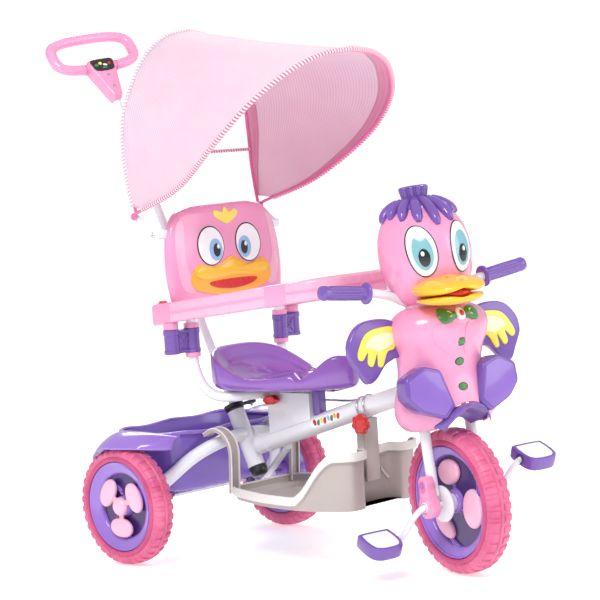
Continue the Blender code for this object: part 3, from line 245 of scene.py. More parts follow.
def candy_cord(name, light, dark, pitch):
    """Twisted two-colour piping; UV u goes round the cord and v along it in metres."""
    made, tree, shader = new_shader(name, 0.7, Sheen_Weight=0.4)
    place = node(tree, "ShaderNodeTexCoord")
    split = node(tree, "ShaderNodeSeparateXYZ")
    tree.links.new(place.outputs["UV"], split.inputs["Vector"])
    along = node(tree, "ShaderNodeMath", operation="MULTIPLY_ADD")
    along.inputs[1].default_value = 1 / pitch
    tree.links.new(split.outputs["Y"], along.inputs[0])
    tree.links.new(split.outputs["X"], along.inputs[2])
    part = node(tree, "ShaderNodeMath", operation="FRACT")
    tree.links.new(along.outputs[0], part.inputs[0])
    colours = ramp(tree, part.outputs[0], ((0.0, light), (0.47, light), (0.53, dark),
                                           (0.95, dark), (1.0, light)))
    tree.links.new(colours, shader.inputs["Base Color"])
    wave = node(tree, "ShaderNodeMath", operation="PINGPONG")
    wave.inputs[1].default_value = 0.5
    tree.links.new(along.outputs[0], wave.inputs[0])
    add_bump(tree, shader, wave.outputs[0], 0.6, 0.0008)
    return made


PINK = (0.84, 0.315, 0.520)
PALE_PINK = (0.87, 0.42, 0.585)
PURPLE = (0.165, 0.078, 0.37)
LILAC = (0.30, 0.165, 0.60)
MAT = {
    "pink": moulded("pink_plastic", PINK, subsurface=0.08),
    "pale": moulded("pale_pink_plastic", PALE_PINK, 0.25, subsurface=0.08),
    "petal": moulded("petal_pink", (0.88, 0.46, 0.60), 0.3),
    # rose is the own colour of the canopy bows and grip bands, and painted shade in the fork ends' bolt
    # pockets
    "rose": moulded("rose_plastic_and_painted_shade", (0.80, 0.14, 0.36), 0.3),
    "purple": moulded("purple_plastic", PURPLE),
    # deep purple is the own colour of the clips and the pedal bearings, and painted shade on the wheels'
    # recess discs
    "deep": moulded("deep_purple_plastic_and_painted_shade", (0.050, 0.018, 0.135), 0.28),
    "lilac": moulded("lilac_plastic", LILAC, 0.16, 0.6),
    "seat": moulded("seat_plastic", (0.26, 0.105, 0.46), 0.14, 0.7),
    "sole": moulded("sole_plastic", (0.235, 0.12, 0.50), 0.2, 0.5),
    "basket": moulded("basket_plastic", (0.205, 0.115, 0.50), 0.22, 0.4),
    "tyre": rubbery("tyre_foam", (0.74, 0.165, 0.315), (0.60, 0.085, 0.215)),
    "tyre_side": rubbery("tyre_sidewall", (0.60, 0.075, 0.215), (0.47, 0.045, 0.155)),
    "white": painted("white_paint", (0.80, 0.80, 0.84)),
    "steel": metal("zinc_steel", (0.66, 0.66, 0.70)),
    "black": moulded("black_plastic", (0.012, 0.012, 0.014), 0.35),
    "red": moulded("red_plastic", (0.62, 0.012, 0.012), 0.25),
    "beige": moulded("beige_plastic", (0.46, 0.405, 0.385), 0.36, 0.15),
    "cream": moulded("cream_plastic", (0.78, 0.76, 0.73), 0.34, 0.15),
    "yellow": moulded("yellow_plastic", (0.93, 0.50, 0.02), 0.22),
    "lemon": moulded("lemon_paint", (0.90, 0.74, 0.10), 0.3),
    "butter": moulded("butter_paint", (0.93, 0.88, 0.52), 0.3),
    "eye_white": moulded("eye_white_paint", (0.90, 0.91, 0.92), 0.15, 0.6),
    "eye_teal": moulded("eye_teal_paint", (0.20, 0.46, 0.52), 0.15, 0.6),
    "eye_blue": moulded("eye_blue_paint", (0.30, 0.50, 0.80), 0.2, 0.5),
    "eye_black": moulded("eye_black_paint", (0.008, 0.008, 0.010), 0.12, 0.7),
    "green": moulded("green_paint", (0.055, 0.22, 0.055), 0.3),
    "orange": moulded("orange_paint", (0.92, 0.40, 0.02), 0.3),
    "cloth": striped_cloth("canopy_cloth", (0.78, 0.60, 0.69), (0.72, 0.47, 0.59), 0.0078),
    "tape": striped_cloth("canopy_tape", (0.78, 0.30, 0.44), (0.74, 0.25, 0.39), 0.02),
    "cord": candy_cord("candy_piping", (0.90, 0.70, 0.79), (0.52, 0.10, 0.20), 0.0066),
    "cord_pale": candy_cord("pale_piping", (0.90, 0.80, 0.85), (0.70, 0.34, 0.45), 0.0066),
}


# ---------------------------------------------------------------- making meshes
def rows_mesh(rows, wrap=False, caps=False):
    """Rows of equally many points as one mesh with UVs: u across a row, v along in metres."""
    count = len(rows[0])
    across = count if wrap else count - 1
    points = [Vector(p) for row in rows for p in row]
    lengths = [0.0]
    for low, high in zip(rows, rows[1:]):
        steps = [(Vector(b) - Vector(a)).length for a, b in zip(low, high)]
        lengths.append(lengths[-1] + sum(steps) / len(steps))
    faces, uvs = [], []
    for r in range(len(rows) - 1):
        for c in range(across):
            d = (c + 1) % count
            faces.append((r * count + c, r * count + d, (r + 1) * count + d,
                          (r + 1) * count + c))
            low, high = c / across, (c + 1) / across
            uvs += [(low, lengths[r]), (high, lengths[r]), (high, lengths[r + 1]),
                    (low, lengths[r + 1])]
    if caps:
        last = (len(rows) - 1) * count
        faces += [tuple(range(count)), tuple(last + c for c in range(count))]
        uvs += [(0.5, 0.0)] * count + [(0.5, lengths[-1])] * count
    mesh = bpy.data.meshes.new("shape")
    mesh.from_pydata(points, [], faces)
    layer = mesh.uv_layers.new(name="uv")
    for loop, uv in zip(layer.data, uvs):
        loop.uv = uv
    work = bmesh.new()
    work.from_mesh(mesh)
    bmesh.ops.remove_doubles(work, verts=work.verts, dist=0.000002)
    bmesh.ops.recalc_face_normals(work, faces=work.faces)
    work.to_mesh(mesh)
    work.free()
    return mesh


def turned(profile, steps=96, closed=False):
    """A turned shape about Y from (radius, y) points."""
    profile = list(profile) + ([profile[0]] if closed else [])
    return rows_mesh([[(r * math.cos(TAU * i / steps), y, r * math.sin(TAU * i / steps))
                       for i in range(steps)] for r, y in profile], wrap=True)


def smooth(points, per_span=6, closed=False):
    """A Catmull-Rom curve through points."""
    knots = [Vector(p) for p in points]
    count = len(knots)
    out = []
    for i in range(count if closed else count - 1):
        if closed:
            a, b, c, d = (knots[(i + k) % count] for k in (-1, 0, 1, 2))
        else:
            b, c = knots[i], knots[i + 1]
            a = knots[i - 1] if i else b * 2 - c
            d = knots[i + 2] if i + 2 < count else c * 2 - b
        for k in range(per_span):
            t = k / per_span
            out.append(0.5 * ((2 * b) + (c - a) * t + (2 * a - 5 * b + 4 * c - d) * t * t
                              + (3 * b - a - 3 * c + d) * t ** 3))
    if not closed:
        out.append(knots[-1])
    return out


def rounded(corners, radii, per_arc=8):
    """A path with its corners turned into arcs."""
    path = [Vector(corners[0])]
    for before, corner, after, radius in zip(corners, corners[1:], corners[2:], radii):
        corner = Vector(corner)
        start = corner + (Vector(before) - corner).normalized() * radius
        end = corner + (Vector(after) - corner).normalized() * radius
        for k in range(per_arc + 1):
            t = k / per_arc
            path.append(start * (1 - t) ** 2 + corner * 2 * t * (1 - t) + end * t * t)
    path.append(Vector(corners[-1]))
    return path


def sweep(path, ring, closed=False, caps=True, up=(0, 0, 1)):
    """A ring of (across, up) offsets carried along a path without twist."""
    path = [Vector(p) for p in path]
    count = len(path)
    rows = []
    side = None
    for i, point in enumerate(path):
        if closed:
            along = path[(i + 1) % count] - path[i - 1]
        else:
            along = path[min(i + 1, count - 1)] - path[max(i - 1, 0)]
        along.normalize()
        if side is None:
            side = along.cross(Vector(up))
            if side.length < 1e-4:
                side = along.cross(Vector((1, 0, 0)))
        side = (side - along * side.dot(along)).normalized()
        lift = side.cross(along)
        offsets = ring(i / max(count - 1, 1)) if callable(ring) else ring
        rows.append([point + side * a + lift * b for a, b in offsets])
    if closed:
        rows.append(rows[0])
    return rows_mesh(rows, wrap=True, caps=caps and not closed)


def circle(radius, sides=20):
    return [(radius * math.cos(TAU * i / sides), radius * math.sin(TAU * i / sides))
            for i in range(sides)]


def tube_mesh(path, radius, sides=20, closed=False):
    return sweep(path, circle(radius, sides), closed)


def ellipse(a, b, centre=(0, 0, 0), count=64, power=1.0):
    points = []
    for i in range(count):
        c, s = math.cos(TAU * i / count), math.sin(TAU * i / count)
        points.append(Vector((centre[0] + a * math.copysign(abs(c) ** power, c),
                              centre[1] + b * math.copysign(abs(s) ** power, s), centre[2])))
    return points


def box_mesh(size, centre=(0, 0, 0), bevel=0.0, segments=3):
    work = bmesh.new()
    bmesh.ops.create_cube(work, size=1.0)
    bmesh.ops.scale(work, vec=size, verts=work.verts)
    if bevel:
        bmesh.ops.bevel(work, geom=work.edges, offset=bevel, segments=segments, profile=0.5,
                        affect="EDGES")
    bmesh.ops.translate(work, vec=centre, verts=work.verts)
    mesh = bpy.data.meshes.new("box")
    work.to_mesh(mesh)
    work.free()
    return mesh


def slab_mesh(outline, low, high, bevel=0.0, segments=3):
    """A plate with an outline in XY between two heights, its rims rounded."""
    work = bmesh.new()
    face = work.faces.new([work.verts.new((p[0], p[1], low)) for p in outline])
    grown = bmesh.ops.extrude_face_region(work, geom=[face])["geom"]
    bmesh.ops.translate(work, vec=(0, 0, high - low),
                        verts=[v for v in grown if isinstance(v, bmesh.types.BMVert)])
    if bevel:
        rims = [e for e in work.edges if abs(e.verts[0].co.z - e.verts[1].co.z) < 1e-7]
        bmesh.ops.bevel(work, geom=rims, offset=bevel, segments=segments, profile=0.5,
                        affect="EDGES")
    bmesh.ops.recalc_face_normals(work, faces=work.faces)
    mesh = bpy.data.meshes.new("slab")
    work.to_mesh(mesh)
    work.free()
    return mesh


def merged(meshes):
    """Several meshes as one, keeping each one's UVs."""
    work = bmesh.new()
    for mesh in meshes:
        work.from_mesh(mesh)
    mesh = bpy.data.meshes.new("merged")
    work.to_mesh(mesh)
    work.free()
    return mesh


def moved(mesh, matrix):
    mesh.transform(matrix)
    return mesh


def piece(name, mesh, body, material, place=ROOT, stands_for=None, angle=38, thick=0.0):
    """Link a finished mesh as a piece that rides on a CAD body."""
    mesh.transform(place)
    obj = bpy.data.objects.new(name, mesh)
    bpy.context.scene.collection.objects.link(obj)
    mesh.materials.clear()
    mesh.materials.append(MAT[material])
    mesh.shade_smooth()
    mesh.set_sharp_from_angle(angle=math.radians(angle))
    if thick:
        shell = obj.modifiers.new("thickness", "SOLIDIFY")
        shell.thickness = abs(thick)
        shell.offset = 0 if thick > 0 else -1      # negative: inwards only
    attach(obj, body)
    if stands_for:
        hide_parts(stands_for)
    return obj


def blob_on(surface, outline, lift=0.0006, rings=10, sink=0.0008, crown=0.0):
    """A thin raised patch: a star-shaped outline laid on a surface (u, v) -> (point, normal)."""
    middle = Vector((sum(p[0] for p in outline) / len(outline),
                     sum(p[1] for p in outline) / len(outline)))
    rows = []
    for k in range(rings + 1):
        share = k / rings
        row = []
        for u, v in outline:
            spot = middle.lerp(Vector((u, v)), share)
            point, normal = surface(spot.x, spot.y)
            row.append(point + normal * (lift + crown * (1 - share * share)))
        rows.append(row)
    rim = []
    for u, v in outline:
        point, normal = surface(u, v)
        rim.append(point - normal * sink)
    rows.append(rim)
    return rows_mesh(rows, wrap=True)


def oval(a, b, u=0.0, v=0.0, lean=0.0, count=48, power=1.0):
    """An oval outline in (u, v), leaning by an angle in degrees."""
    c, s = math.cos(math.radians(lean)), math.sin(math.radians(lean))
    return [(u + p.x * c - p.y * s, v + p.x * s + p.y * c)
            for p in ellipse(a, b, count=count, power=power)]


def closed_outline(knots, per_span=5):
    return [(p.x, p.y) for p in smooth([(u, v, 0) for u, v in knots], per_span, closed=True)]


def upright(profile, steps=64, closed=False):
    """A turned shape about Z from (radius, height) points."""
    return moved(turned(profile, steps, closed), spin(90, "X"))


def domed(outline, steps):
    """A closed form over an outline in XZ, from (scale, y) steps; Y is outwards."""
    return rows_mesh([[(u * s, y, v * s) for u, v in outline] for s, y in steps], wrap=True)


def screw_head(radius):
    """A pan head with a slot, standing on XZ, facing +Y."""
    head = domed(oval(radius, radius, count=24), ((0, 0), (1, 0), (1, radius * 0.30),
                                                  (0.82, radius * 0.50), (0, radius * 0.56)))
    slot = box_mesh((radius * 1.5, radius * 0.10, radius * 0.22), (0, radius * 0.54, 0))
    return merged([head, slot])


def facing(point, direction, roll=0.0):
    """A frame at a point whose +Y looks along a direction."""
    turn = Vector((0, 1, 0)).rotation_difference(Vector(direction))
    return Matrix.Translation(point) @ turn.to_matrix().to_4x4() @ spin(roll, "Y")


# ---------------------------------------------------------------- wheels
AXLE_SPAN = 0.450
LUG_PHASES = (0.0, 0.06, 0.12, 0.18, 0.34, 0.50, 0.56, 0.62, 0.68, 0.84)


def lug_height(phase):
    """1 on a lug, 0 in the narrow groove before the next one."""
    return max(0.0, min(1.0, (phase - 0.06) / 0.06, (0.68 - phase) / 0.06))


def tyre_mesh(radius, rim, width, lugs):
    """Solid foam tyre with staggered shoulder lugs and a centre rib."""
    half = width / 2
    side = [(rim + 0.0002, 0.74, 0, 0), (rim + 0.0004, 0.90, 0, 0),
            (rim + 0.0100, 0.93, 0, 0), (rim + 0.0112, 0.925, 0.0004, 0.05),
            (radius - 0.0112, 0.925, 0.0006, 0.050), (radius - 0.0080, 0.88, 0.0016, 0.060),
            (radius - 0.0056, 0.79, 0.0020, 0.05), (radius - 0.0042, 0.66, 0.0023, 0.02),
            (radius - 0.0034, 0.48, 0.0024, 0.0), (radius - 0.0030, 0.24, 0.0026, 0.0),
            (radius - 0.0030, 0.17, 0, 0),
            (radius - 0.0010, 0.11, 0, 0), (radius - 0.0002, 0.05, 0, 0)]
    rows = []
    for i in range(lugs):
        for phase in LUG_PHASES:
            angle = TAU * (i + phase) / lugs
            profile = []
            for sign, turn in ((1, phase), (-1, (phase + 0.5) % 1)):
                lift = lug_height(turn)
                half_profile = [(r + dr * lift, sign * half * (y + dy * lift))
                                for r, y, dr, dy in side]
                profile += half_profile if sign > 0 else half_profile[::-1]
            rows.append([(r * math.cos(angle), y, r * math.sin(angle)) for r, y in profile])
    rows.append(rows[0])
    return rows_mesh(rows, wrap=True)


def sidewall_mesh(rim, half, sign):
    """The smooth lip between rim and lugs on one side."""
    ring = [(rim + 0.0003, 0.88), (rim + 0.0008, 0.99), (rim + 0.0030, 1.035),
            (rim + 0.0066, 1.03), (rim + 0.0092, 0.975), (rim + 0.0098, 0.90)]
    return turned([(r, sign * half * y) for r, y in ring], 128, closed=True)


def rim_mesh(rim, half, hub, bore, floor, lip=0.022):
    """Dished wheel centre: wide rounded lip, deep recess, hub boss."""
    inner = rim - lip
    side = [(bore, 0.60 * half), (hub - 0.0010, 0.60 * half), (hub, 0.56 * half),
            (hub + 0.0012, floor + 0.0012), (hub + 0.0030, floor), (inner - 0.0040, floor),
            (inner - 0.0022, floor + 0.0010), (inner - 0.0008, half * 0.42),
            (inner + 0.0010, half * 0.50), (inner + 0.0050, half * 0.58),
            (inner + lip * 0.50, half * 0.66), (inner + lip * 0.76, half * 0.76),
            (rim - 0.0030, half * 0.90), (rim - 0.0012, half * 0.93),
            (rim - 0.0003, half * 0.88)]
    return turned(side + [(r, -y) for r, y in reversed(side)], 128, closed=True)


def rib_arcs(rim, lip, floor, top, starts, span, gap=0.0065):
    """Pairs of thin curved ribs sweeping from the hub out to the lip."""
    ribs = []
    inner = rim - lip
    for start in starts:
        for shift in (-0.5, 0.5):
            path = []
            for k in range(13):
                t = k / 12
                angle = math.radians(start + span * t)
                r = 0.024 + (inner - 0.0235) * t ** 0.72 + shift * gap * (1 - 0.3 * t)
                path.append((r * math.cos(angle), floor, r * math.sin(angle)))
            ribs.append(sweep(path, [(-0.0011, -0.0006), (0.0011, -0.0006),
                                     (0.0009, top), (-0.0009, top)], up=(0, 1, 0)))
    return merged(ribs)


POD = ((0, 0.0004), (0.97, 0.0004), (1.0, 0.0016), (1.0, 0.0040), (0.975, 0.0060),
       (0.92, 0.0074), (0.80, 0.0084), (0.5, 0.0092), (0, 0.0095))
for side, sign in SIDES:
    body, place = "rear_wheel_" + side, rear_wheel(sign)
    piece("rear_tyre_mesh_" + side, tyre_mesh(0.110, 0.0836, 0.043, 36), body, "tyre",
          place, "rear_tyre_" + side, angle=30)
    for face, way in (("outer", 1), ("inner", -1)):
        piece(f"rear_sidewall_{face}_{side}", sidewall_mesh(0.0836, 0.0215, way), body,
              "tyre_side", place)
    piece("rear_rim_mesh_" + side, rim_mesh(0.0834, 0.0215, 0.0180, 0.0056, 0.0030), body,
          "lilac", place, "rear_rim_" + side, angle=42)
    # a dark disc laid on the floor of the wheel's dish: painted shade for the shadow deep in the recess
    piece("rear_recess_painted_shade_" + side,
          turned([(0.0195, 0.0031), (0.0600, 0.0031), (0.0600, 0.0038), (0.0195, 0.0038)],
                 96, closed=True), body, "deep", place)
    first = (180 - 26) if side == "right" else (180 + 26)
    way = -1 if side == "right" else 1
    starts = [first + way * (120 * k - 44) for k in range(3)]
    piece("rear_ribs_" + side, rib_arcs(0.0834, 0.022, 0.0038, 0.0042, starts, way * 62),
          body, "lilac", place)
    seat = Matrix.Translation((0, 0.01373, 0))
    dome = [(0, 0), (0.0168, 0), (0.0175, 0.0012), (0.0172, 0.0045), (0.0158, 0.0082),
            (0.0128, 0.0110), (0.0080, 0.0126), (0, 0.0132)]
    cap = [moved(turned(dome, 64), seat)]
    for k in range(3):
        turn = spin(-(first + way * 120 * k), "Y")
        pod = domed(oval(0.0178, 0.0288, count=56, power=0.94), POD)
        cap.append(moved(pod, seat @ turn @ Matrix.Translation((0.0405, -0.0030, 0))))
        arm = box_mesh((0.024, 0.0040, 0.0110), (0.0220, 0.0008, 0), 0.0012)
        cap.append(moved(arm, seat @ turn))
    piece("hub_cap_mesh_" + side, merged(cap), body, "petal", place, "hub_cap_" + side,
          angle=40)

piece("rear_axle_rod",
      moved(turned([(0, -AXLE_SPAN / 2), (0.0042, -AXLE_SPAN / 2),
                    (0.005, 0.001 - AXLE_SPAN / 2), (0.005, AXLE_SPAN / 2 - 0.001),
                    (0.0042, AXLE_SPAN / 2), (0, AXLE_SPAN / 2)], 24),
            Matrix.Translation((0, 0, REAR_AXLE_Z))), "frame", "steel", ROOT, "rear_axle")

FRONT_RIM = 0.0986
piece("front_tyre_mesh", tyre_mesh(0.127, 0.0988, 0.047, 38), "front_wheel", "tyre", STEER,
      "front_tyre", angle=30)
for face, way in (("left", 1), ("right", -1)):
    piece("front_sidewall_" + face, sidewall_mesh(0.0988, 0.0235, way), "front_wheel",
          "tyre_side", STEER)
piece("front_rim_mesh", rim_mesh(FRONT_RIM, 0.0235, 0.0200, 0.0062, 0.0036, 0.017),
      "front_wheel", "lilac", STEER, "front_rim", angle=42)
# (x, z, half width along the radius, half width across) of the front wheel's discs
DISCS = ((-0.005, 0.051, 0.0225, 0.0300), (0.050, -0.014, 0.0270, 0.0350),
         (-0.040, -0.042, 0.0165, 0.0290))
for face, way in (("left", 1), ("right", -1)):
    turn = STEER if way > 0 else STEER @ spin(180, "Z")
    # a dark disc laid on the floor of the wheel's dish: painted shade for the shadow deep in the recess
    piece("front_recess_painted_shade_" + face,
          turned([(0.0215, 0.0037), (0.0800, 0.0037), (0.0800, 0.0046), (0.0215, 0.0046)],
                 96, closed=True), "front_wheel", "deep", turn)
    piece("front_ribs_" + face,
          rib_arcs(FRONT_RIM, 0.017, 0.0046, 0.0050,
                   [(way * a) % 360 for a in (18, 138, 258)], way * 66), "front_wheel",
          "lilac", turn)
    discs = []
    for x, z, a, b in DISCS:
        lean = math.degrees(math.atan2(z, way * x))
        pod = domed(oval(a, b, count=56), POD)
        discs.append(moved(pod, Matrix.Translation((way * x, 0.0042, z))
                           @ spin(-lean, "Y")))
    piece("front_discs_" + face, merged(discs), "front_wheel", "petal", turn, angle=40)
    piece("front_hub_plate_" + face,
          turned([(0.0066, 0.0385), (0.0285, 0.0385), (0.0315, 0.0370), (0.0322, 0.0345),
                  (0.0310, 0.0320), (0.0200, 0.0300), (0.0160, 0.0250), (0.0150, 0.0060),
                  (0.0150, 0.0046), (0.0066, 0.0046)],
                 64, closed=True), "front_wheel",
          "white", turn)


# ---------------------------------------------------------------- crank and pedals
CRANK_ANGLE = math.radians(228)      # of the right crank at rest, from forward
CRANK_REACH = Vector((math.cos(CRANK_ANGLE), 0, math.sin(CRANK_ANGLE))) * 0.0715
half_crank = [Vector((0, 0, 0))] + rounded(
    [(0, -0.04, 0), (0, -0.074, 0),
     (CRANK_REACH.x * 0.16, -0.087, CRANK_REACH.z * 0.16),
     (CRANK_REACH.x * 0.86, -0.098, CRANK_REACH.z * 0.86),
     (CRANK_REACH.x, -0.1085, CRANK_REACH.z), (CRANK_REACH.x, -0.165, CRANK_REACH.z)],
    [0.004, 0.012, 0.012, 0.006], 6)
piece("crank_rod", tube_mesh([-p for p in reversed(half_crank[1:])] + half_crank, 0.0055, 24),
      "front_wheel", "white", STEER, "crank_axle")
PEDAL_TILT = 28
for side, sign in SIDES:
    centre = Vector((0, sign * 0.140, 0)) - CRANK_REACH * sign
    place = STEER @ Matrix.Translation(centre) @ spin(PEDAL_TILT, "Y")
    body = "pedal_" + side
    outline = closed_outline([(-0.030, -0.024), (-0.024, -0.032), (0.012, -0.032),
                              (0.027, -0.022), (0.030, -0.002), (0.027, 0.022),
                              (0.012, 0.032), (-0.024, 0.032), (-0.030, 0.024)], 4)
    rings = []
    for shrink, z in ((0.9, -0.0120), (0.96, -0.0116), (1.0, -0.0085), (1.0, 0.0085),
                      (0.975, 0.0112), (0.93, 0.0120), (0.86, 0.0119), (0.845, 0.0112),
                      (0.84, 0.0098)):
        rings.append([(u * shrink, v * shrink, z) for u, v in outline])
    piece("pedal_block_" + side, rows_mesh(rings, wrap=True, caps=True), body, "purple",
          place, "pedal_" + side, angle=40)
    pad = [[(u * s, v * s, z) for u, v in outline]
           for s, z in ((0.82, 0.0092), (0.82, 0.0108), (0.80, 0.0116), (0.6, 0.0120))]
    piece("pedal_pad_" + side, rows_mesh(pad, wrap=True, caps=True), body, "eye_white",
          place)
    tread = [box_mesh((0.0012, 0.040, 0.0010), (-0.018 + 0.009 * k, 0, 0.0121))
             for k in range(5)]
    piece("pedal_ribs_" + side, merged(tread), body, "eye_white", place)
    piece("pedal_bearing_" + side,
          moved(turned([(0.0066, -0.0345), (0.0100, -0.0345), (0.0104, -0.0320),
                        (0.0104, -0.0300), (0.0066, -0.0300)], 32, closed=True),
                spin(0 if sign > 0 else 180, "Z")), body, "deep", place)


# ---------------------------------------------------------------- frame tubes
MAIN_REAR, MAIN_FRONT = (0.114, 0.190), (0.592, 0.331)   # (x, z) of the main tube's ends
MAIN_RADIUS = 0.018


def main_axis(x):
    """The point of the main tube's axis at x."""
    rise = (x - MAIN_REAR[0]) * (MAIN_FRONT[1] - MAIN_REAR[1]) / (MAIN_FRONT[0] - MAIN_REAR[0])
    return Vector((x, 0, MAIN_REAR[1] + rise))


TUBE_RUN = (main_axis(MAIN_FRONT[0]) - main_axis(MAIN_REAR[0])).normalized()

piece("main_tube_mesh", tube_mesh([main_axis(0.150), main_axis(0.36), main_axis(0.578)],
                                  MAIN_RADIUS, 48), "frame", "white", ROOT, "main_tube")
piece("head_tube_mesh",
      upright([(0.0132, 0.1650), (0.0192, 0.1650), (0.0200, 0.1658), (0.0200, 0.1690),
               (0.0196, 0.1700), (0.0196, 0.2570), (0.0200, 0.2580), (0.0200, 0.2612),
               (0.0192, 0.2620), (0.0132, 0.2620)], 48, closed=True), "frame", "white", HEAD,
      "head_tube")
piece("handle_socket_mesh",
      upright([(0.0085, 0), (0.0158, 0), (0.0165, 0.0008), (0.0165, 0.1186),
               (0.0155, 0.1192), (0.0085, 0.1192)], 48, closed=True), "frame", "white", POLE,
      "handle_socket")
piece("socket_ring",
      upright([(0.0085, 0.1194), (0.0172, 0.1194), (0.0178, 0.1202), (0.0178, 0.1228),
               (0.0168, 0.1238), (0.0085, 0.1239)], 48, closed=True), "frame", "black", POLE)
piece("socket_cap_mesh",
      upright([(0, -0.014), (0.0110, -0.014), (0.0128, -0.0132), (0.0158, -0.0104),
               (0.0172, -0.0070), (0.0176, -0.0030), (0.0176, 0.0050), (0.0166, 0.0056),
               (0.0166, -0.0004), (0, -0.0004)], 48), "frame", "black", POLE, "socket_cap")
weld = []
for x in (0.1735, 0.578):
    weld.append(moved(turned([(0.0178, -0.0030), (0.0190, -0.0022), (0.0194, 0.0),
                              (0.0190, 0.0022), (0.0178, 0.0030)], 40, closed=True),
                      facing(main_axis(x), TUBE_RUN)))
piece("tube_weld_beads", merged(weld), "frame", "white")

# sticker of plain coloured shapes on both sides of the main tube: (colour, x, size)
STICKER_SHAPES = (("red", 0.3110, 0.0062), ("green", 0.3200, 0.0056),
                  ("lemon", 0.3280, 0.0050), ("red", 0.3360, 0.0062),
                  ("eye_blue", 0.3450, 0.0052), ("green", 0.3530, 0.0056),
                  ("orange", 0.3610, 0.0050), ("red", 0.3690, 0.0058))
STICKER_X = 0.3275
TUBE_UP = Vector((0, -1, 0)).cross(TUBE_RUN).normalized()


def on_tube(side):
    """Surface of the main tube: u along it from the sticker, v round it from one side."""
    def surface(u, v):
        angle = v / MAIN_RADIUS
        out = Vector((0, side, 0)) * math.cos(angle) + TUBE_UP * math.sin(angle)
        return main_axis(STICKER_X) + TUBE_RUN * u + out * MAIN_RADIUS, out
    return surface


for side, sign in SIDES:
    surface = on_tube(sign)
    piece("sticker_ground_" + side,
          blob_on(surface, oval(0.0400, 0.0092, 0.0130, 0.0020, power=0.4), 0.0002, 6),
          "frame", "eye_white")
    for k, (colour, x, size) in enumerate(STICKER_SHAPES):
        turn = (-1) ** k
        shape = oval(size * 0.62, size, (x - STICKER_X) * 1.05, 0.0020 + 0.0010 * turn,
                     20 * turn)
        spot = blob_on(surface, shape, 0.0005, 4)
        piece(f"sticker_shape_{side}_{k}", spot, "frame", colour)

ARCH = smooth([(0.0, 0.158, 0.1200), (0.034, 0.146, 0.143), (0.078, 0.108, 0.188),
               (0.106, 0.062, 0.212), (0.115, 0.008, 0.220)], 8)
for side, sign in SIDES:
    path = [Vector((p.x, p.y * sign, p.z)) for p in ARCH]
    piece("rear_arch_mesh_" + side, tube_mesh(path, 0.0125, 32), "frame", "white", ROOT,
          "rear_arch_" + side)
    bush = turned([(0.0056, -0.014), (0.0108, -0.014), (0.0116, -0.012), (0.0116, 0.012),
                   (0.0108, 0.014), (0.0056, 0.014)], 32, closed=True)
    piece("axle_bush_" + side, moved(bush, Matrix.Translation((0, sign * 0.1620, REAR_AXLE_Z))),
          "frame", "white")
    piece("axle_clip_" + side,
          moved(box_mesh((0.022, 0.016, 0.014), bevel=0.003),
                Matrix.Translation((0.004, sign * 0.1400, 0.1045))), "frame", "deep")
piece("brace_strut_mesh",
      tube_mesh(smooth([(0.004, 0.128, 0.109), (0.040, 0.100, 0.1125), (0.086, 0.064, 0.117),
                        (0.150, 0.034, 0.156), (0.216, 0.006, 0.200)], 6), 0.0065, 24),
      "frame", "white", ROOT, "brace_strut")


# ---------------------------------------------------------------- seat
SEAT_REAR, SEAT_NOSE, SEAT_HALF, SEAT_Z = 0.090, 0.402, 0.128, 0.313


def seat_ring(shrink, count=96):
    points = []
    middle, half = (SEAT_REAR + SEAT_NOSE) / 2, (SEAT_NOSE - SEAT_REAR) / 2 - shrink
    for i in range(count):
        c, s = math.cos(TAU * i / count), math.sin(TAU * i / count)
        forward = 0.5 + 0.5 * c
        width = (SEAT_HALF - shrink) * (1.0 - 0.70 * forward ** 1.35)
        points.append((middle + half * math.copysign(abs(c) ** 0.80, c),
                       width * math.copysign(abs(s) ** 0.80, s)))
    return points


def seat_top(x, y):
    t = min(1.0, max(0.0, (x - SEAT_REAR) / (SEAT_NOSE - SEAT_REAR)))
    rim = 0.060 - 0.055 * math.sin(math.pi * min(1.0, t / 0.72)) ** 0.8 if t < 0.72 else 0.0
    back = 0.072 * max(0.0, 1 - t / 0.42) ** 1.3
    nose = 0.056 * math.exp(-((t - 0.93) / 0.13) ** 2)
    side = 0.022 * min(1.0, abs(y) / SEAT_HALF) ** 2 * (1 - t)
    return SEAT_Z + 0.014 + 0.25 * rim + 0.70 * back + nose * 0.85 + side


rows = []
for lift, shrink in ((0.004, 0.026), (0.0005, 0.0235), (0.0, 0.020), (0.0030, 0.0100),
                     (0.0070, 0.0045), (0.0130, 0.0010), (0.0170, 0.0)):
    rows.append([(x, y, SEAT_Z + lift) for x, y in seat_ring(shrink)])
# the rolled rim, then the crease, then the dish
for shrink, lift in ((0.0006, -0.0056), (0.0022, -0.0022), (0.0055, 0.0004), (0.0100, 0.0012),
                     (0.0150, 0.0004), (0.0205, -0.0012), (0.0245, -0.0024),
                     (0.0275, -0.0026), (0.0300, -0.0036), (0.0325, -0.0062),
                     (0.0350, -0.0078), (0.0390, -0.0086), (0.0480, -0.0092),
                     (0.0620, -0.0092), (0.0780, -0.0092), (0.0950, -0.0088),
                     (0.1080, -0.0084), (0.1180, -0.0080)):
    rows.append([(x, y, max(seat_top(x, y) + lift, SEAT_Z + 0.0176))
                 for x, y in seat_ring(shrink)])
piece("seat_saddle", rows_mesh(rows, wrap=True, caps=True), "frame", "seat", ROOT,
      "seat_shell", angle=60)


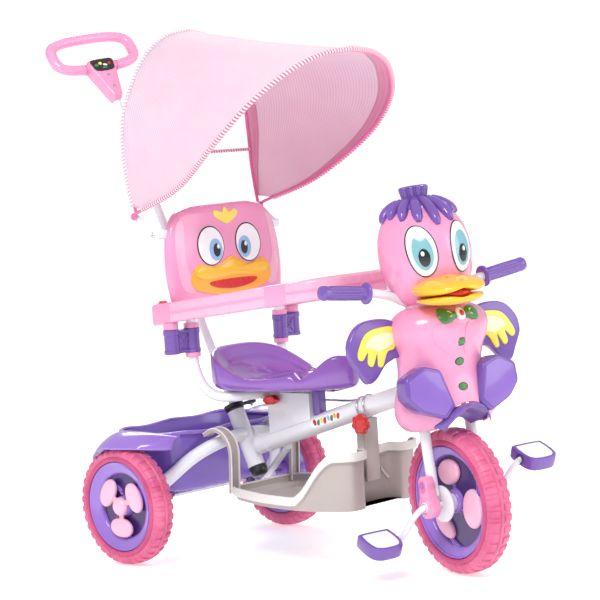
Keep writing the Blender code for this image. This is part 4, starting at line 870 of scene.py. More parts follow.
BRACKET_REAR, BRACKET_FRONT, BRACKET_TOP, SKIRT, SHEET = 0.191, 0.297, 0.3035, 0.0115, 0.0022
low_rear, low_front = main_axis(BRACKET_REAR).z + SKIRT, main_axis(BRACKET_FRONT).z + SKIRT
outline = [(BRACKET_REAR, low_rear), (BRACKET_FRONT, low_front), (BRACKET_FRONT, BRACKET_TOP),
           (BRACKET_REAR, BRACKET_TOP)]
cheeks = []
for y in (SHEET - 0.0160, 0.0160):
    cheeks.append(moved(slab_mesh(outline, 0, SHEET, 0.0007, 2),
                        Matrix.Translation((0, y, 0)) @ spin(90, "X")))
cheeks.append(box_mesh((0.106, 0.030, SHEET), (0.244, 0, 0.3020), 0.0006))
for x, low in ((0.1925, low_rear + 0.008), (0.2955, low_front + 0.002)):
    cheeks.append(box_mesh((SHEET, 0.030, BRACKET_TOP - low),
                           (x, 0, (BRACKET_TOP + low) / 2), 0.0006))
piece("seat_bracket_sheet", merged(cheeks), "frame", "white", ROOT, "seat_bracket")
piece("seat_post_block", box_mesh((0.016, 0.020, 0.0480), (0.3085, 0, 0.2850), 0.0025, 4),
      "frame", "purple", ROOT, "seat_post")
rail_parts = [box_mesh((0.190, 0.040, 0.0026), (0.268, 0, 0.3106), 0.0008)]
for x in (0.185, 0.350):
    rail_parts.append(box_mesh((0.012, 0.030, 0.0040), (x, 0, 0.3122), 0.0012))
piece("seat_rail_plate", merged(rail_parts), "frame", "black", ROOT, "seat_rail")
lever = [(0.186, -0.030, 0.3080), (0.150, -0.0335, 0.3072), (0.128, -0.0345, 0.3068),
         (0.120, -0.0350, 0.3020)]
piece("seat_lever_rod", tube_mesh(smooth(lever, 6), 0.0022, 16), "frame", "black")


def star_knob(name, body, place, a, b, deep, stem, stands_for):
    """A red hand knob: round collar, oval grip with finger scallops, facing +Y."""
    outline = []
    for i in range(72):
        t = TAU * i / 72
        grow = 1 + 0.055 * math.cos(6 * t)
        outline.append((a * grow * math.cos(t), b * grow * math.sin(t)))
    grip = domed(outline, ((0, stem), (0.86, stem), (0.97, stem + 0.0015),
                           (1, stem + 0.0035), (1, deep - 0.0035), (0.96, deep - 0.0014),
                           (0.86, deep - 0.0002), (0.62, deep), (0.56, deep - 0.0012),
                           (0, deep - 0.0014)))
    collar = turned([(0, 0), (0.0064, 0), (0.0068, 0.0008), (0.0068, stem + 0.001),
                     (0, stem + 0.001)], 32)
    piece(name, merged([grip, collar]), body, "red", place, stands_for, angle=35)


SEAT_KNOB = ROOT @ facing((0.214, -0.0164, 0.2905), (0, -1, 0), 94)
star_knob("seat_knob_mesh", "seat_knob", SEAT_KNOB, 0.0172, 0.0088, 0.0196, 0.0062,
          "seat_knob")

# ---------------------------------------------------------------- back frame and backrest
half_back = rounded([(0.107, -0.117, 0.474), (0.107, -0.117, 0.350), (0.137, -0.107, 0.302),
                     (0.186, -0.060, 0.302), (0.190, 0, 0.302)], [0.030, 0.030, 0.030], 10)
whole_back = half_back[:-1] + [Vector((p.x, -p.y, p.z)) for p in reversed(half_back)]
piece("back_frame_tube", tube_mesh(whole_back, 0.0095, 28), "frame", "white", ROOT,
      "back_frame")

BACK_LOW, BACK_HIGH = 0.470, 0.655
BACK_ROWS = ((0.0, 0.006), (0.10, 0.0), (0.35, -0.004), (0.62, 0.0), (0.82, 0.010),
             (0.94, 0.030), (1.0, 0.062))
back_dense = smooth([(t, s, 0) for t, s in BACK_ROWS], 6)


def back_shrink(t):
    for low, high in zip(back_dense, back_dense[1:]):
        if t <= high.x:
            share = (t - low.x) / max(high.x - low.x, 1e-9)
            return low.y + (high.y - low.y) * share
    return back_dense[-1].y


def back_row(t, inset=0.0, count=96):
    bulge = 0.006 * math.sin(math.pi * t)
    return [(p.x, p.y, BACK_LOW + (BACK_HIGH - BACK_LOW) * t) for p in
            ellipse(0.015 + bulge - inset, 0.142 - back_shrink(t) - inset,
                    (0.088 - 0.010 * t, 0, 0), count, 0.62)]


rows = [back_row(0.0, 0.010), back_row(0.004, 0.005), back_row(0.020, 0.0015)]
rows += [back_row(0.05 + 0.85 * k / 22) for k in range(23)]
for t, inset in ((0.93, 0.0004), (0.955, 0.0014), (0.975, 0.0032), (0.990, 0.0060),
                 (0.998, 0.0092)):
    rows.append(back_row(t, inset))
piece("backrest_shell", rows_mesh(rows, wrap=True, caps=True), "frame", "pink", ROOT,
      "backrest_panel", angle=50)


def back_front(u, v):
    """Front face of the backrest: u is Y, v is Z."""
    t = min(1.0, max(0.0, (v - BACK_LOW) / (BACK_HIGH - BACK_LOW)))
    depth = 0.015 + 0.006 * math.sin(math.pi * t)
    width = 0.142 - back_shrink(t)
    reach = min(0.995, abs(u) / width)
    x = 0.088 - 0.010 * t + depth * (1 - reach ** (2 / 0.62)) ** 0.31
    return Vector((x, u, v)), Vector((1, 0, 0))


# paler cheeks at both edges of the panel, and the eyes
for side, sign in SIDES:
    cheek = closed_outline([(sign * y, z) for y, z in
                            ((0.095, 0.500), (0.118, 0.498), (0.130, 0.530), (0.132, 0.580),
                             (0.124, 0.620), (0.108, 0.628), (0.112, 0.590),
                             (0.113, 0.545))])
    piece("backrest_cheek_" + side, blob_on(back_front, cheek, 0.0005, 8), "frame", "pale")
    for name, a, b, u, v, lean, lift, rings, colour in (
            ("eye_rim", 0.0340, 0.0370, sign * 0.0490, 0.5780, 6, 0.0007, 12, "eye_black"),
            ("eye_white", 0.0318, 0.0348, sign * 0.0488, 0.5778, 6, 0.0012, 12, "eye_white"),
            ("iris", 0.0165, 0.0205, sign * 0.0380, 0.5700, 0, 0.0017, 8, "eye_blue"),
            ("pupil", 0.0088, 0.0125, sign * 0.0360, 0.5690, 0, 0.0021, 6, "eye_black"),
            ("glint", 0.0032, 0.0042, sign * 0.0360 + 0.004, 0.5755, 0, 0.0025, 4,
             "eye_white")):
        piece(f"back_{name}_{side}",
              blob_on(back_front, oval(a, b, u, v, sign * lean), lift, rings), "frame",
              colour)
beak = closed_outline([(-0.104, 0.524), (-0.084, 0.546), (-0.050, 0.538), (-0.020, 0.548),
                       (0.0, 0.556), (0.020, 0.548), (0.050, 0.538), (0.084, 0.546),
                       (0.104, 0.524), (0.098, 0.502), (0.060, 0.490), (0.0, 0.484),
                       (-0.060, 0.490), (-0.098, 0.502)])
piece("back_beak", blob_on(back_front, beak, 0.0014, 14, crown=0.0030), "frame", "orange")
upper = closed_outline([(-0.094, 0.527), (-0.080, 0.540), (-0.050, 0.533), (-0.020, 0.543),
                        (0.0, 0.550), (0.020, 0.543), (0.050, 0.533), (0.080, 0.540),
                        (0.094, 0.527), (0.070, 0.517), (0.0, 0.519), (-0.070, 0.517)])
piece("back_beak_upper", blob_on(back_front, upper, 0.0036, 14, crown=0.0030), "frame",
      "yellow")
mouth = closed_outline([(-0.060, 0.511), (0.0, 0.514), (0.060, 0.511), (0.046, 0.500),
                        (0.0, 0.495), (-0.046, 0.500)])
piece("back_mouth", blob_on(back_front, mouth, 0.0042, 8), "frame", "red")
tuft = closed_outline([(-0.006, 0.618), (-0.030, 0.632), (-0.026, 0.643), (-0.010, 0.638),
                       (0.0, 0.648), (0.010, 0.638), (0.026, 0.643), (0.030, 0.632),
                       (0.006, 0.618)])
piece("back_tuft", blob_on(back_front, tuft, 0.0010, 8, crown=0.0012), "frame", "lemon")


# ---------------------------------------------------------------- guard rail
RAIL_Y = 0.160


def rail_height(x):
    """Height of the guard's middle line, which rises 7 degrees forward."""
    return 0.460 + (x - 0.066) * math.tan(math.radians(7)) * 0.98


def rail_path():
    """The guard's middle line, from its right end round the front to its left end."""
    points = [(0.066 + (0.410 - 0.066) * k / 12, -RAIL_Y) for k in range(13)]
    for k in range(1, 13):
        t = math.radians(90 * k / 12)
        points.append((0.410 + 0.060 * math.sin(t), -RAIL_Y + 0.060 * (1 - math.cos(t))))
    points += [(0.470, -0.100 + 0.100 * k / 6) for k in range(1, 6)]
    half = [Vector((x, y, rail_height(x))) for x, y in points]
    return half + [Vector((0.470, 0, rail_height(0.470)))] + [
        Vector((p.x, -p.y, p.z)) for p in reversed(half)]


def rail_ring(a, b, soft, grow=0.0):
    """A rounded box section."""
    ring = []
    for ca, cb, start in ((1, 1, 0), (-1, 1, 90), (-1, -1, 180), (1, -1, 270)):
        for k in range(5):
            t = math.radians(start + 22.5 * k)
            ring.append((ca * (a - soft) + (soft + grow) * math.cos(t),
                         cb * (b - soft) + (soft + grow) * math.sin(t)))
    return ring


def flat_sweep(path, ring):
    """Carry a ring of (side, up) offsets along a path keeping up vertical."""
    rows = []
    for i, point in enumerate(path):
        along = path[min(i + 1, len(path) - 1)] - path[max(i - 1, 0)]
        side = Vector((-along.y, along.x, 0)).normalized()
        rows.append([point + side * a + Vector((0, 0, b)) for a, b in ring])
    return rows_mesh(rows, wrap=True, caps=True)


path = rail_path()
piece("guard_rail_mesh", flat_sweep(path, rail_ring(0.0125, 0.0185, 0.006)), "guard", "pale",
      ROOT, "guard_rail", angle=40)
piece("guard_rail_strip", flat_sweep(path[1:-1], [(-0.0131, -0.0026), (-0.0105, -0.0030),
                                                  (-0.0105, 0.0030), (-0.0131, 0.0026)]),
      "guard", "pink")
for side, sign in SIDES:
    for name, places, grow in (("joint", (0.356, 0.360, 0.402, 0.406), 0.0008),
                               ("end", (0.0655, 0.068, 0.108, 0.1105), 0.0009)):
        band = [Vector((x, sign * RAIL_Y, rail_height(x))) for x in places]
        piece(f"guard_{name}_{side}",
              flat_sweep(band, rail_ring(0.0125, 0.0185, 0.006, grow)), "guard", "pink")
    crown = rail_height(0.082) + 0.0185
    ring = upright([(0.0088, -0.001), (0.0112, -0.001), (0.0112, 0.0010), (0.0104, 0.0018),
                    (0.0092, 0.0018), (0.0088, 0.0012)], 40, closed=True)
    piece("guard_button_ring_" + side, moved(ring, Matrix.Translation(
        (0.082, sign * RAIL_Y, crown))), "guard", "pink")
    button = upright([(0, -0.0070), (0.0076, -0.0070), (0.0078, -0.0060), (0.0078, 0.0032),
                      (0.0070, 0.0048), (0.0052, 0.0057), (0.0030, 0.0054), (0, 0.0051)], 40)
    piece("guard_button_mesh_" + side, moved(button, Matrix.Translation(
        (0.082, sign * RAIL_Y, crown))), "guard_button_" + side, "red", ROOT,
        "guard_button_" + side)
    pin = upright([(0, -0.022), (0.0072, -0.022), (0.0085, -0.0205), (0.0085, 0.022),
                   (0, 0.022)], 40)
    pin_x, low, high = 0.098, 0.388, 0.4325
    piece("guard_pin_" + side, moved(pin, Matrix.Translation(
        (pin_x, sign * RAIL_Y, rail_height(pin_x) - 0.030))), "guard", "pale")
    neck_top = rail_height(pin_x) - 0.0178
    neck = upright([(0.0080, high + 0.0006), (0.0128, high + 0.0006),
                    (0.0136, high + 0.0016), (0.0136, neck_top), (0.0080, neck_top)], 40,
                   closed=True)
    piece("guard_neck_" + side, moved(neck, Matrix.Translation((pin_x, sign * RAIL_Y, 0))),
          "guard", "pink")
    barrels = []
    for x, y in ((0.107, sign * 0.117), (0.098, sign * 0.160)):
        bore = 0.0097
        profile = [(bore, low), (0.0142, low), (0.0150, low + 0.001), (0.0150, low + 0.006),
                   (0.0138, low + 0.0075), (0.0138, high - 0.0105), (0.0150, high - 0.009),
                   (0.0150, high - 0.001), (0.0142, high), (bore, high)]
        barrels.append(moved(upright(profile, 48, closed=True),
                             Matrix.Translation((x, y, 0))))
    bridge = box_mesh((0.016, 0.026, high - low - 0.003),
                      (0.1025, sign * 0.1385, (low + high) / 2), 0.0015)
    barrels.append(bridge)
    for lean in (-1, 1):
        brace = box_mesh((0.0022, 0.0300, 0.0034), bevel=0.0007)
        barrels.append(moved(brace, Matrix.Translation((0.1112, sign * 0.1385, 0.410))
                             @ spin(lean * 46, "X")))
    for z in (low + 0.0035, high - 0.0045):
        barrels.append(box_mesh((0.0030, 0.0270, 0.0050), (0.1115, sign * 0.1385, z),
                                0.0010))
    piece("guard_clamp_mesh_" + side, merged(barrels), "frame", "purple", ROOT,
          "guard_clamp_" + side, angle=35)
    for z in (high + 0.0046, low - 0.0046):
        collar = upright([(0.0096, -0.0045), (0.0132, -0.0045), (0.0142, -0.0035),
                          (0.0142, 0.0035), (0.0132, 0.0045), (0.0096, 0.0045)], 40,
                         closed=True)
        level = "upper" if z > high else "lower"
        piece(f"post_collar_{level}_{side}",
              moved(collar, Matrix.Translation((0.107, sign * 0.117, z))), "frame", "pink",
              ROOT)


# ---------------------------------------------------------------- canopy
REAR_BOW = ((0.026, 0.160, 0.648), (0.014, 0.162, 0.715), (0.010, 0.162, 0.785),
            (0.013, 0.151, 0.848), (0.020, 0.110, 0.925), (0.028, 0.060, 0.966),
            (0.031, 0.0, 0.9785))
FRONT_BOW = ((0.034, 0.1672, 0.648), (0.165, 0.180, 0.690), (0.285, 0.200, 0.764),
             (0.360, 0.184, 0.828), (0.408, 0.132, 0.880), (0.432, 0.068, 0.908),
             (0.438, 0.0, 0.916))
BOW_SPANS = 10


def bow_points(knots):
    left = smooth(knots, BOW_SPANS)
    return [Vector((p.x, -p.y, p.z)) for p in left][:-1] + list(reversed(left))


rear_bow, front_bow = bow_points(REAR_BOW), bow_points(FRONT_BOW)
piece("canopy_rear_bow_wire", tube_mesh(rear_bow, 0.0030, 16), "frame", "rose", ROOT,
      "canopy_rear_bow")
piece("canopy_front_bow_wire", tube_mesh(front_bow, 0.0030, 16), "canopy_front", "rose",
      ROOT, "canopy_front_bow")
for side, sign in SIDES:
    arm_low = Vector((0.070, sign * 0.160, 0.606))
    arm_high = Vector((0.026, sign * 0.160, 0.640))
    along = arm_high - arm_low
    tilt = math.degrees(math.atan2(along.x, along.z))
    arm = box_mesh((0.013, 0.004, along.length + 0.010), bevel=0.0014)
    arm = moved(arm, Matrix.Translation((arm_low + arm_high) / 2) @ spin(tilt, "Y"))
    foot = box_mesh((0.014, 0.034, 0.016), (0.074, sign * 0.1440, 0.6065), 0.003)
    piece("canopy_bracket_mesh_" + side, merged([arm, foot]), "frame", "white", ROOT,
          "canopy_bracket_" + side)
    piece("canopy_bolt_" + side, screw_head(0.0048), "frame", "steel",
          ROOT @ facing((0.070, sign * 0.1622, 0.607), (0, sign, 0), 30))
    eye = moved(turned([(0, 0.0), (0.0062, 0.0), (0.0068, 0.0008), (0.0068, 0.0034),
                        (0.0058, 0.0046), (0, 0.0046)], 32),
                facing((0.026, sign * 0.1640, 0.642), (0, sign, 0)))
    link = tube_mesh([(0.026, sign * 0.1662, 0.642), (0.034, sign * 0.1672, 0.648)], 0.0028,
                     16)
    piece("canopy_pivot_eye_" + side, merged([eye, link]), "canopy_front", "rose")

CLOTH_ROWS = 44
SAG = 0.010
CANOPY_MIDDLE = Vector((0.18, 0, 0.72))


def outwards(point):
    """The direction from the middle under the canopy to a point of it."""
    return (point - CANOPY_MIDDLE).normalized()



def cloth_point(a, b, t, i, count):
    """A point of the stretched cloth between bow points a and b."""
    share = math.sin(math.pi * i / (count - 1)) ** 0.6
    ripple = 0.0011 * math.sin(9 * math.pi * i / (count - 1) + 2.2 * t) * math.sin(math.pi * t)
    sag = SAG * math.sin(math.pi * t) * share
    middle = a.lerp(b, t)
    out = outwards(middle)
    wrap = 0.0036                    # the cloth lies over the bow's wire
    return middle + out * (wrap + ripple) - out * sag * 0.6


count = len(rear_bow)
cloth_rows = []
for k in range(CLOTH_ROWS + 1):
    t = k / CLOTH_ROWS
    cloth_rows.append([cloth_point(a, b, t, i, count)
                       for i, (a, b) in enumerate(zip(rear_bow, front_bow))])
# the cloth starts a little above the bows' feet, where both bows part
TRIM = 2
cloth_rows = [row[TRIM:-TRIM] for row in cloth_rows]
flat_width = max(sum((b - a).length for a, b in zip(row, row[1:])) for row in cloth_rows)
columns = list(zip(*cloth_rows))
flat_length = max(sum((b - a).length for a, b in zip(column, column[1:]))
                  for column in columns)
cloth_mesh = rows_mesh(cloth_rows)
CLOTH_SHARES = [k / CLOTH_ROWS for k in range(CLOTH_ROWS + 1) for _ in cloth_rows[0]]


def cloth_piece(name, rows, shares, material, thick):
    """A sheet that bends between the fixed rear bow and the folding front bow."""
    points = [p for row in rows for p in row]
    mesh = bpy.data.meshes.new(name)
    wide = len(rows[0])
    faces, uvs = [], []
    lengths = [0.0]
    for low, high in zip(rows, rows[1:]):
        steps = [(b - a).length for a, b in zip(low, high)]
        lengths.append(lengths[-1] + max(steps))
    for r in range(len(rows) - 1):
        for c in range(wide - 1):
            i = r * wide + c
            faces.append((i, i + 1, i + wide + 1, i + wide))
            uvs += [(c / (wide - 1), lengths[r]), ((c + 1) / (wide - 1), lengths[r]),
                    ((c + 1) / (wide - 1), lengths[r + 1]), (c / (wide - 1), lengths[r + 1])]
    mesh.from_pydata(points, [], faces)
    layer = mesh.uv_layers.new(name="uv")
    for loop, uv in zip(layer.data, uvs):
        loop.uv = uv
    mesh.transform(ROOT)
    mesh.shade_smooth()
    obj = bpy.data.objects.new(name, mesh)
    bpy.context.scene.collection.objects.link(obj)
    mesh.materials.append(MAT[material])
    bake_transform(obj, "frame", "canopy_front", (0.0 - MIDDLE, 0, 0.80), (0.44 - MIDDLE, 0, 0.80))
    mesh.attributes["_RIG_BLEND"].data.foreach_set("value", shares)
    shell = obj.modifiers.new("thickness", "SOLIDIFY")
    shell.thickness = thick
    shell.offset = 0
    return obj


cloth = cloth_piece("canopy_cover", cloth_rows, CLOTH_SHARES, "cloth", 0.0008)
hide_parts("canopy_cloth")


def hem_path(bow, lift):
    """A line just outside a bow, where the cloth's edge is piped."""
    return [p + outwards(p) * lift for p in bow[TRIM:-TRIM]]


front_hem = tube_mesh(hem_path(front_bow, 0.0040), 0.0042, 16)
rear_hem = tube_mesh(hem_path(rear_bow, 0.0040), 0.0034, 16)
piece("canopy_front_piping", front_hem, "canopy_front", "cord")
piece("canopy_rear_piping", rear_hem, "frame", "cord_pale")


def tape_rows(bow, inward, width, under):
    """A facing tape inside the hem; it narrows where the two bows come together."""
    rows = []
    for k in range(4):
        row = []
        for p, q in zip(bow[TRIM:-TRIM], inward[TRIM:-TRIM]):
            reach = min(width, 0.09 * (q - p).length)
            step = (q - p).normalized() * (reach * k / 3)
            row.append(p + step + outwards(p) * under)
        rows.append(row)
    return rows


piece("canopy_front_tape", rows_mesh(tape_rows(front_bow, rear_bow, 0.030, 0.0010)),
      "canopy_front", "tape", ROOT, thick=0.0006)
piece("canopy_rear_tape", rows_mesh(tape_rows(rear_bow, front_bow, 0.026, 0.0006)), "frame",
      "tape", ROOT, thick=0.0006)
piece("canopy_cross_rod",
      tube_mesh([(0.0115, -0.1600, 0.751), (0.0115, 0.1600, 0.751)], 0.0032, 16), "frame",
      "cord")


# ---------------------------------------------------------------- push handle
piece("push_pole_tube",
      upright([(0, 0.004), (0.0066, 0.004), (0.0075, 0.005), (0.0075, 0.812), (0, 0.812)],
              32), "push_handle", "white", PUSH, "push_pole")
disc = upright([(0, 0.1244), (0.0180, 0.1244), (0.0190, 0.1252), (0.0190, 0.1311),
                (0.0180, 0.1319), (0, 0.1319)], 48)
arm = box_mesh((0.013, 0.046, 0.0050), (0, 0.023, 0.1282), 0.0018)
eye = moved(upright([(0, 0.1252), (0.0080, 0.1252), (0.0086, 0.1260), (0.0086, 0.1304),
                     (0.0080, 0.1312), (0, 0.1312)], 32), Matrix.Translation((0, 0.040, 0)))
piece("steer_lever_plate", merged([disc, arm, eye]), "push_handle", "black", PUSH,
      "steer_lever")
piece("steer_lever_bolt", screw_head(0.0045), "push_handle", "steel",
      PUSH @ Matrix.Translation((0, 0.040, 0.1312)) @ spin(90, "X"))
housing_knots = [(0.0, -0.0115), (0.0095, -0.0095), (0.0175, 0.020), (0.0235, 0.044),
                 (0.0290, 0.066), (0.0285, 0.079), (0.0200, 0.0850), (0.0, 0.0860),
                 (-0.0200, 0.0850), (-0.0285, 0.079), (-0.0290, 0.066), (-0.0235, 0.044),
                 (-0.0175, 0.020), (-0.0095, -0.0095)]
outline = closed_outline(housing_knots, 5)
mid_z = 0.044
rows = []
for s, x in ((0.0, -0.0146), (0.80, -0.0145), (0.92, -0.0132), (0.985, -0.0105),
             (1.0, -0.0070), (1.0, 0.0070), (0.985, 0.0105), (0.92, 0.0132), (0.80, 0.0145),
             (0.0, 0.0146)):
    rows.append([(x, y * s, mid_z + (z - mid_z) * s) for y, z in outline])
piece("push_housing_mesh", rows_mesh(rows, wrap=True), "push_handle", "pink", HANDLE,
      "push_housing", angle=45)


def housing_face(u, v):
    return Vector((0.0145, u, v)), Vector((1, 0, 0))


panel = closed_outline([(-0.0225, 0.0790), (0.0, 0.0808), (0.0225, 0.0790), (0.0235, 0.0660),
                        (0.0185, 0.0540), (0.0, 0.0515), (-0.0185, 0.0540),
                        (-0.0235, 0.0660)])
piece("push_panel", blob_on(housing_face, panel, 0.0008, 6), "push_handle", "eye_black",
      HANDLE)
for k, (colour, y, z, a, b, lean) in enumerate((
        ("green", -0.0145, 0.0665, 0.0050, 0.0032, 20),
        ("lemon", -0.0052, 0.0700, 0.0036, 0.0036, 0),
        ("white", 0.0040, 0.0655, 0.0046, 0.0026, -15),
        ("red", 0.0140, 0.0680, 0.0040, 0.0030, 30),
        ("green", 0.0010, 0.0590, 0.0060, 0.0020, 0))):
    piece(f"push_panel_shape_{k}",
          blob_on(housing_face, oval(a, b, y, z, lean, 24), 0.0012, 4), "push_handle",
          colour, HANDLE)
for k, z in enumerate((0.040, 0.012)):
    piece(f"push_screw_{k}", screw_head(0.0034), "push_handle", "steel",
          HANDLE @ facing((0.0144, 0, z), (1, 0, 0), 25))
GRIP_RADIUS = 0.0105
loop = [(0, p.x, 0.108 + p.y) for p in ellipse(0.098 - GRIP_RADIUS, 0.0475 - GRIP_RADIUS,
                                              count=120, power=0.62)]
piece("push_grip_loop",
      sweep(loop, circle(GRIP_RADIUS, 28), closed=True, up=(1, 0, 0)),
      "push_handle", "pink", HANDLE, "push_grip")
seams = []
for sign in (-1, 1):
    ring = turned([(0.0103, -0.0012), (0.0112, -0.0008), (0.0112, 0.0008),
                   (0.0103, 0.0012)], 32, closed=True)
    seams.append(moved(ring, Matrix.Translation((0, sign * 0.034, 0.0710))))
piece("push_grip_bands", merged(seams), "push_handle", "rose", HANDLE)


# ---------------------------------------------------------------- parent steering link
link_run = (PUSH.to_3x3() @ Vector((0, 0, 1))).normalized()
link_eye = PUSH @ Vector((0, 0.038, 0.1284))
link_top = link_eye + link_run * 0.012
link_start = link_top + Vector((0.012, 0, 0.001))
link_tab = STEER @ Vector((0, 0.040, 0.186)) + Vector((-0.0085, 0, 0))
link_path = rounded([link_eye - link_run * 0.008, link_top,
                     link_start + Vector((0.03, 0, -0.004)),
                     (0.350 - MIDDLE, link_eye.y + 0.001, 0.285), link_tab],
                    [0.006, 0.012, 0.02], 8)
piece("link_rod_wire", tube_mesh(link_path, 0.0022, 16), "steering_link", "steel",
      Matrix.Identity(4), "link_rod")

# ---------------------------------------------------------------- footrest tray
TRAY_HALF = ((0.146, 0.050), (0.150, 0.086), (0.200, 0.103), (0.262, 0.122), (0.330, 0.129),
             (0.392, 0.124), (0.436, 0.108), (0.461, 0.088), (0.464, 0.060), (0.458, 0.044),
             (0.430, 0.040), (0.426, 0.020))
TRAY_FLOOR, TRAY_STEP, TRAY_WALL = 0.109, 0.006, 0.003


def tray_rim(x):
    t = min(max((x - 0.345) / 0.090, 0.0), 1.0)
    return 0.134 + 0.080 * t * t * (3 - 2 * t)


def tray_low(x):
    return max(tray_rim(x) - 0.019, TRAY_FLOOR + 0.003)


def arc_corners(points, share=0.36, steps=4):
    """A closed polygon with rounded corners and evenly cut sides."""
    out = []
    count = len(points)
    for i, corner in enumerate(points):
        before, after = points[i - 1], points[(i + 1) % count]
        start, end = corner.lerp(before, share), corner.lerp(after, share)
        for k in range(steps + 1):
            t = k / steps
            out.append(start * (1 - t) ** 2 + corner * 2 * t * (1 - t) + end * t * t)
    return out


tray_left = [Vector((x, y, 0)) for x, y in TRAY_HALF]
TRAY_LOOP = arc_corners([Vector((p.x, -p.y, 0)) for p in tray_left] + tray_left[::-1])


def tray_ring(inset, height):
    out = []
    count = len(TRAY_LOOP)
    for i, point in enumerate(TRAY_LOOP):
        along = (TRAY_LOOP[(i + 1) % count] - TRAY_LOOP[i - 1]).normalized()
        spot = point + Vector((-along.y, along.x, 0)) * inset
        out.append((spot.x, spot.y, height(spot.x)))
    return out


body_rows = [tray_ring(TRAY_STEP + 0.0030, lambda x: TRAY_FLOOR),
             tray_ring(TRAY_STEP + 0.0018, lambda x: TRAY_FLOOR + 0.0006),
             tray_ring(TRAY_STEP + 0.001, lambda x: TRAY_FLOOR + 0.0026),
             tray_ring(TRAY_STEP, tray_low),
             tray_ring(0.0010, lambda x: tray_low(x) + 0.0024),
             tray_ring(0.0002, lambda x: tray_low(x) + 0.0036),
             tray_ring(0.0002, lambda x: tray_rim(x) - 0.0010),
             tray_ring(TRAY_WALL, lambda x: tray_rim(x) - 0.0010),
             tray_ring(TRAY_WALL, lambda x: tray_low(x) + 0.0065),
             tray_ring(TRAY_STEP + TRAY_WALL, lambda x: tray_low(x) + 0.0035),
             tray_ring(TRAY_STEP + TRAY_WALL + 0.001, lambda x: TRAY_FLOOR + TRAY_WALL + 0.003),
             tray_ring(TRAY_STEP + TRAY_WALL + 0.0030, lambda x: TRAY_FLOOR + TRAY_WALL)]
piece("tray_shell", rows_mesh(body_rows, wrap=True, caps=True), "frame", "beige", ROOT,
      "footrest_tray", angle=40)
band_rows = [tray_ring(0.0004, lambda x: tray_low(x) + 0.0030),
             tray_ring(-0.0008, lambda x: tray_low(x) + 0.0042),
             tray_ring(-0.0010, lambda x: tray_rim(x) - 0.0020),
             tray_ring(-0.0002, lambda x: tray_rim(x) - 0.0004),
             tray_ring(0.0012, lambda x: tray_rim(x)),
             tray_ring(TRAY_WALL + 0.0008, lambda x: tray_rim(x) - 0.0003),
             tray_ring(TRAY_WALL + 0.0012, lambda x: tray_rim(x) - 0.0020),
             tray_ring(TRAY_WALL + 0.0002, lambda x: tray_rim(x) - 0.0030)]
piece("tray_rim_band", rows_mesh(band_rows, wrap=True), "frame", "cream", ROOT, angle=40)
tread = []
for k in range(7):
    x = 0.190 + 0.032 * k
    wide = 0.070 + 0.020 * math.sin(math.pi * k / 6)
    for sign in (-1, 1):
        tread.append(box_mesh((0.006, wide * 0.62, 0.0016),
                              (x, sign * (0.040 + wide * 0.31), 0.1126), 0.0006, 2))
piece("tray_tread_ribs", merged(tread), "frame", "beige")
STRAP = ((0.1525, 0.122), (0.153, 0.130), (0.156, 0.170), (0.156, 0.205), (0.142, 0.228),
         (0.118, 0.2365), (0.092, 0.226))
CHANNEL = ((0.011, -0.0020), (0.011, 0.0046), (0.0090, 0.0050), (0.0090, 0.0006),
           (-0.0090, 0.0006), (-0.0090, 0.0050), (-0.011, 0.0046), (-0.011, -0.0020))
for side, sign in SIDES:
    path = smooth([(x, sign * 0.080, z) for x, z in STRAP], 8)
    piece("tray_strap_" + side, sweep(path, CHANNEL, up=(1, 0, 0)), "frame", "beige", ROOT,
          angle=30)
    edges = []
    for across in (-0.0100, 0.0100):
        edges.append(sweep(path, [(across - 0.0014, 0.0042), (across + 0.0014, 0.0042),
                                  (across + 0.0010, 0.0058), (across - 0.0010, 0.0058)],
                           up=(1, 0, 0)))
    piece("tray_strap_edges_" + side, merged(edges), "frame", "cream")
arm_top = main_axis(0.428).z - MAIN_RADIUS * 1.06 - 0.0012
arm_parts = [box_mesh((0.005, 0.036, arm_top - 0.150), (0.4285, 0, (arm_top + 0.150) / 2),
                      0.0012)]
for sign in (-1, 1):
    arm_parts.append(box_mesh((0.020, 0.0036, arm_top - 0.168),
                              (0.4205, sign * 0.0162, (arm_top + 0.168) / 2), 0.0012))
    foot = [(0.418, sign * 0.019, 0.196), (0.424, sign * 0.023, 0.172),
            (0.434, sign * 0.034, 0.150)]
    arm_parts.append(tube_mesh(smooth(foot, 5), 0.0030, 12))
piece("tray_arm", merged(arm_parts), "frame", "beige")

tube_up = Vector((-TUBE_RUN.z, 0, TUBE_RUN.x))
WIRE, REACH = 0.0018, 0.0206
loops = []
for x in (0.418, 0.434):
    middle = main_axis(x)
    path = [middle - tube_up * 0.030 + Vector((0, -REACH, 0))]
    for k in range(25):
        t = math.radians(180 - 7.5 * k)
        path.append(middle + Vector((0, math.cos(t), 0)) * REACH
                    + tube_up * math.sin(t) * REACH)
    path.append(middle - tube_up * 0.012 + Vector((0, REACH, 0)))
    loops.append(tube_mesh(path, WIRE, 14))
knob_base = main_axis(0.426) - tube_up * 0.0275
plate = moved(box_mesh((0.028, 0.0036, 0.010), bevel=0.001),
              Matrix.Translation(knob_base + Vector((0, -REACH, 0)))
              @ spin(-math.degrees(math.atan2(TUBE_RUN.z, TUBE_RUN.x)), "Y"))
piece("tray_band_wire", merged(loops + [plate]), "frame", "steel", ROOT, "tray_band")
lobes = []
for i in range(84):
    t = TAU * i / 84
    r = 0.0175 + 0.0016 * math.cos(7 * t)
    lobes.append((r * math.cos(t), r * math.sin(t)))
TRAY_KNOB = ROOT @ facing(knob_base + Vector((0, -REACH - 0.0022, 0)), (0, -1, 0))
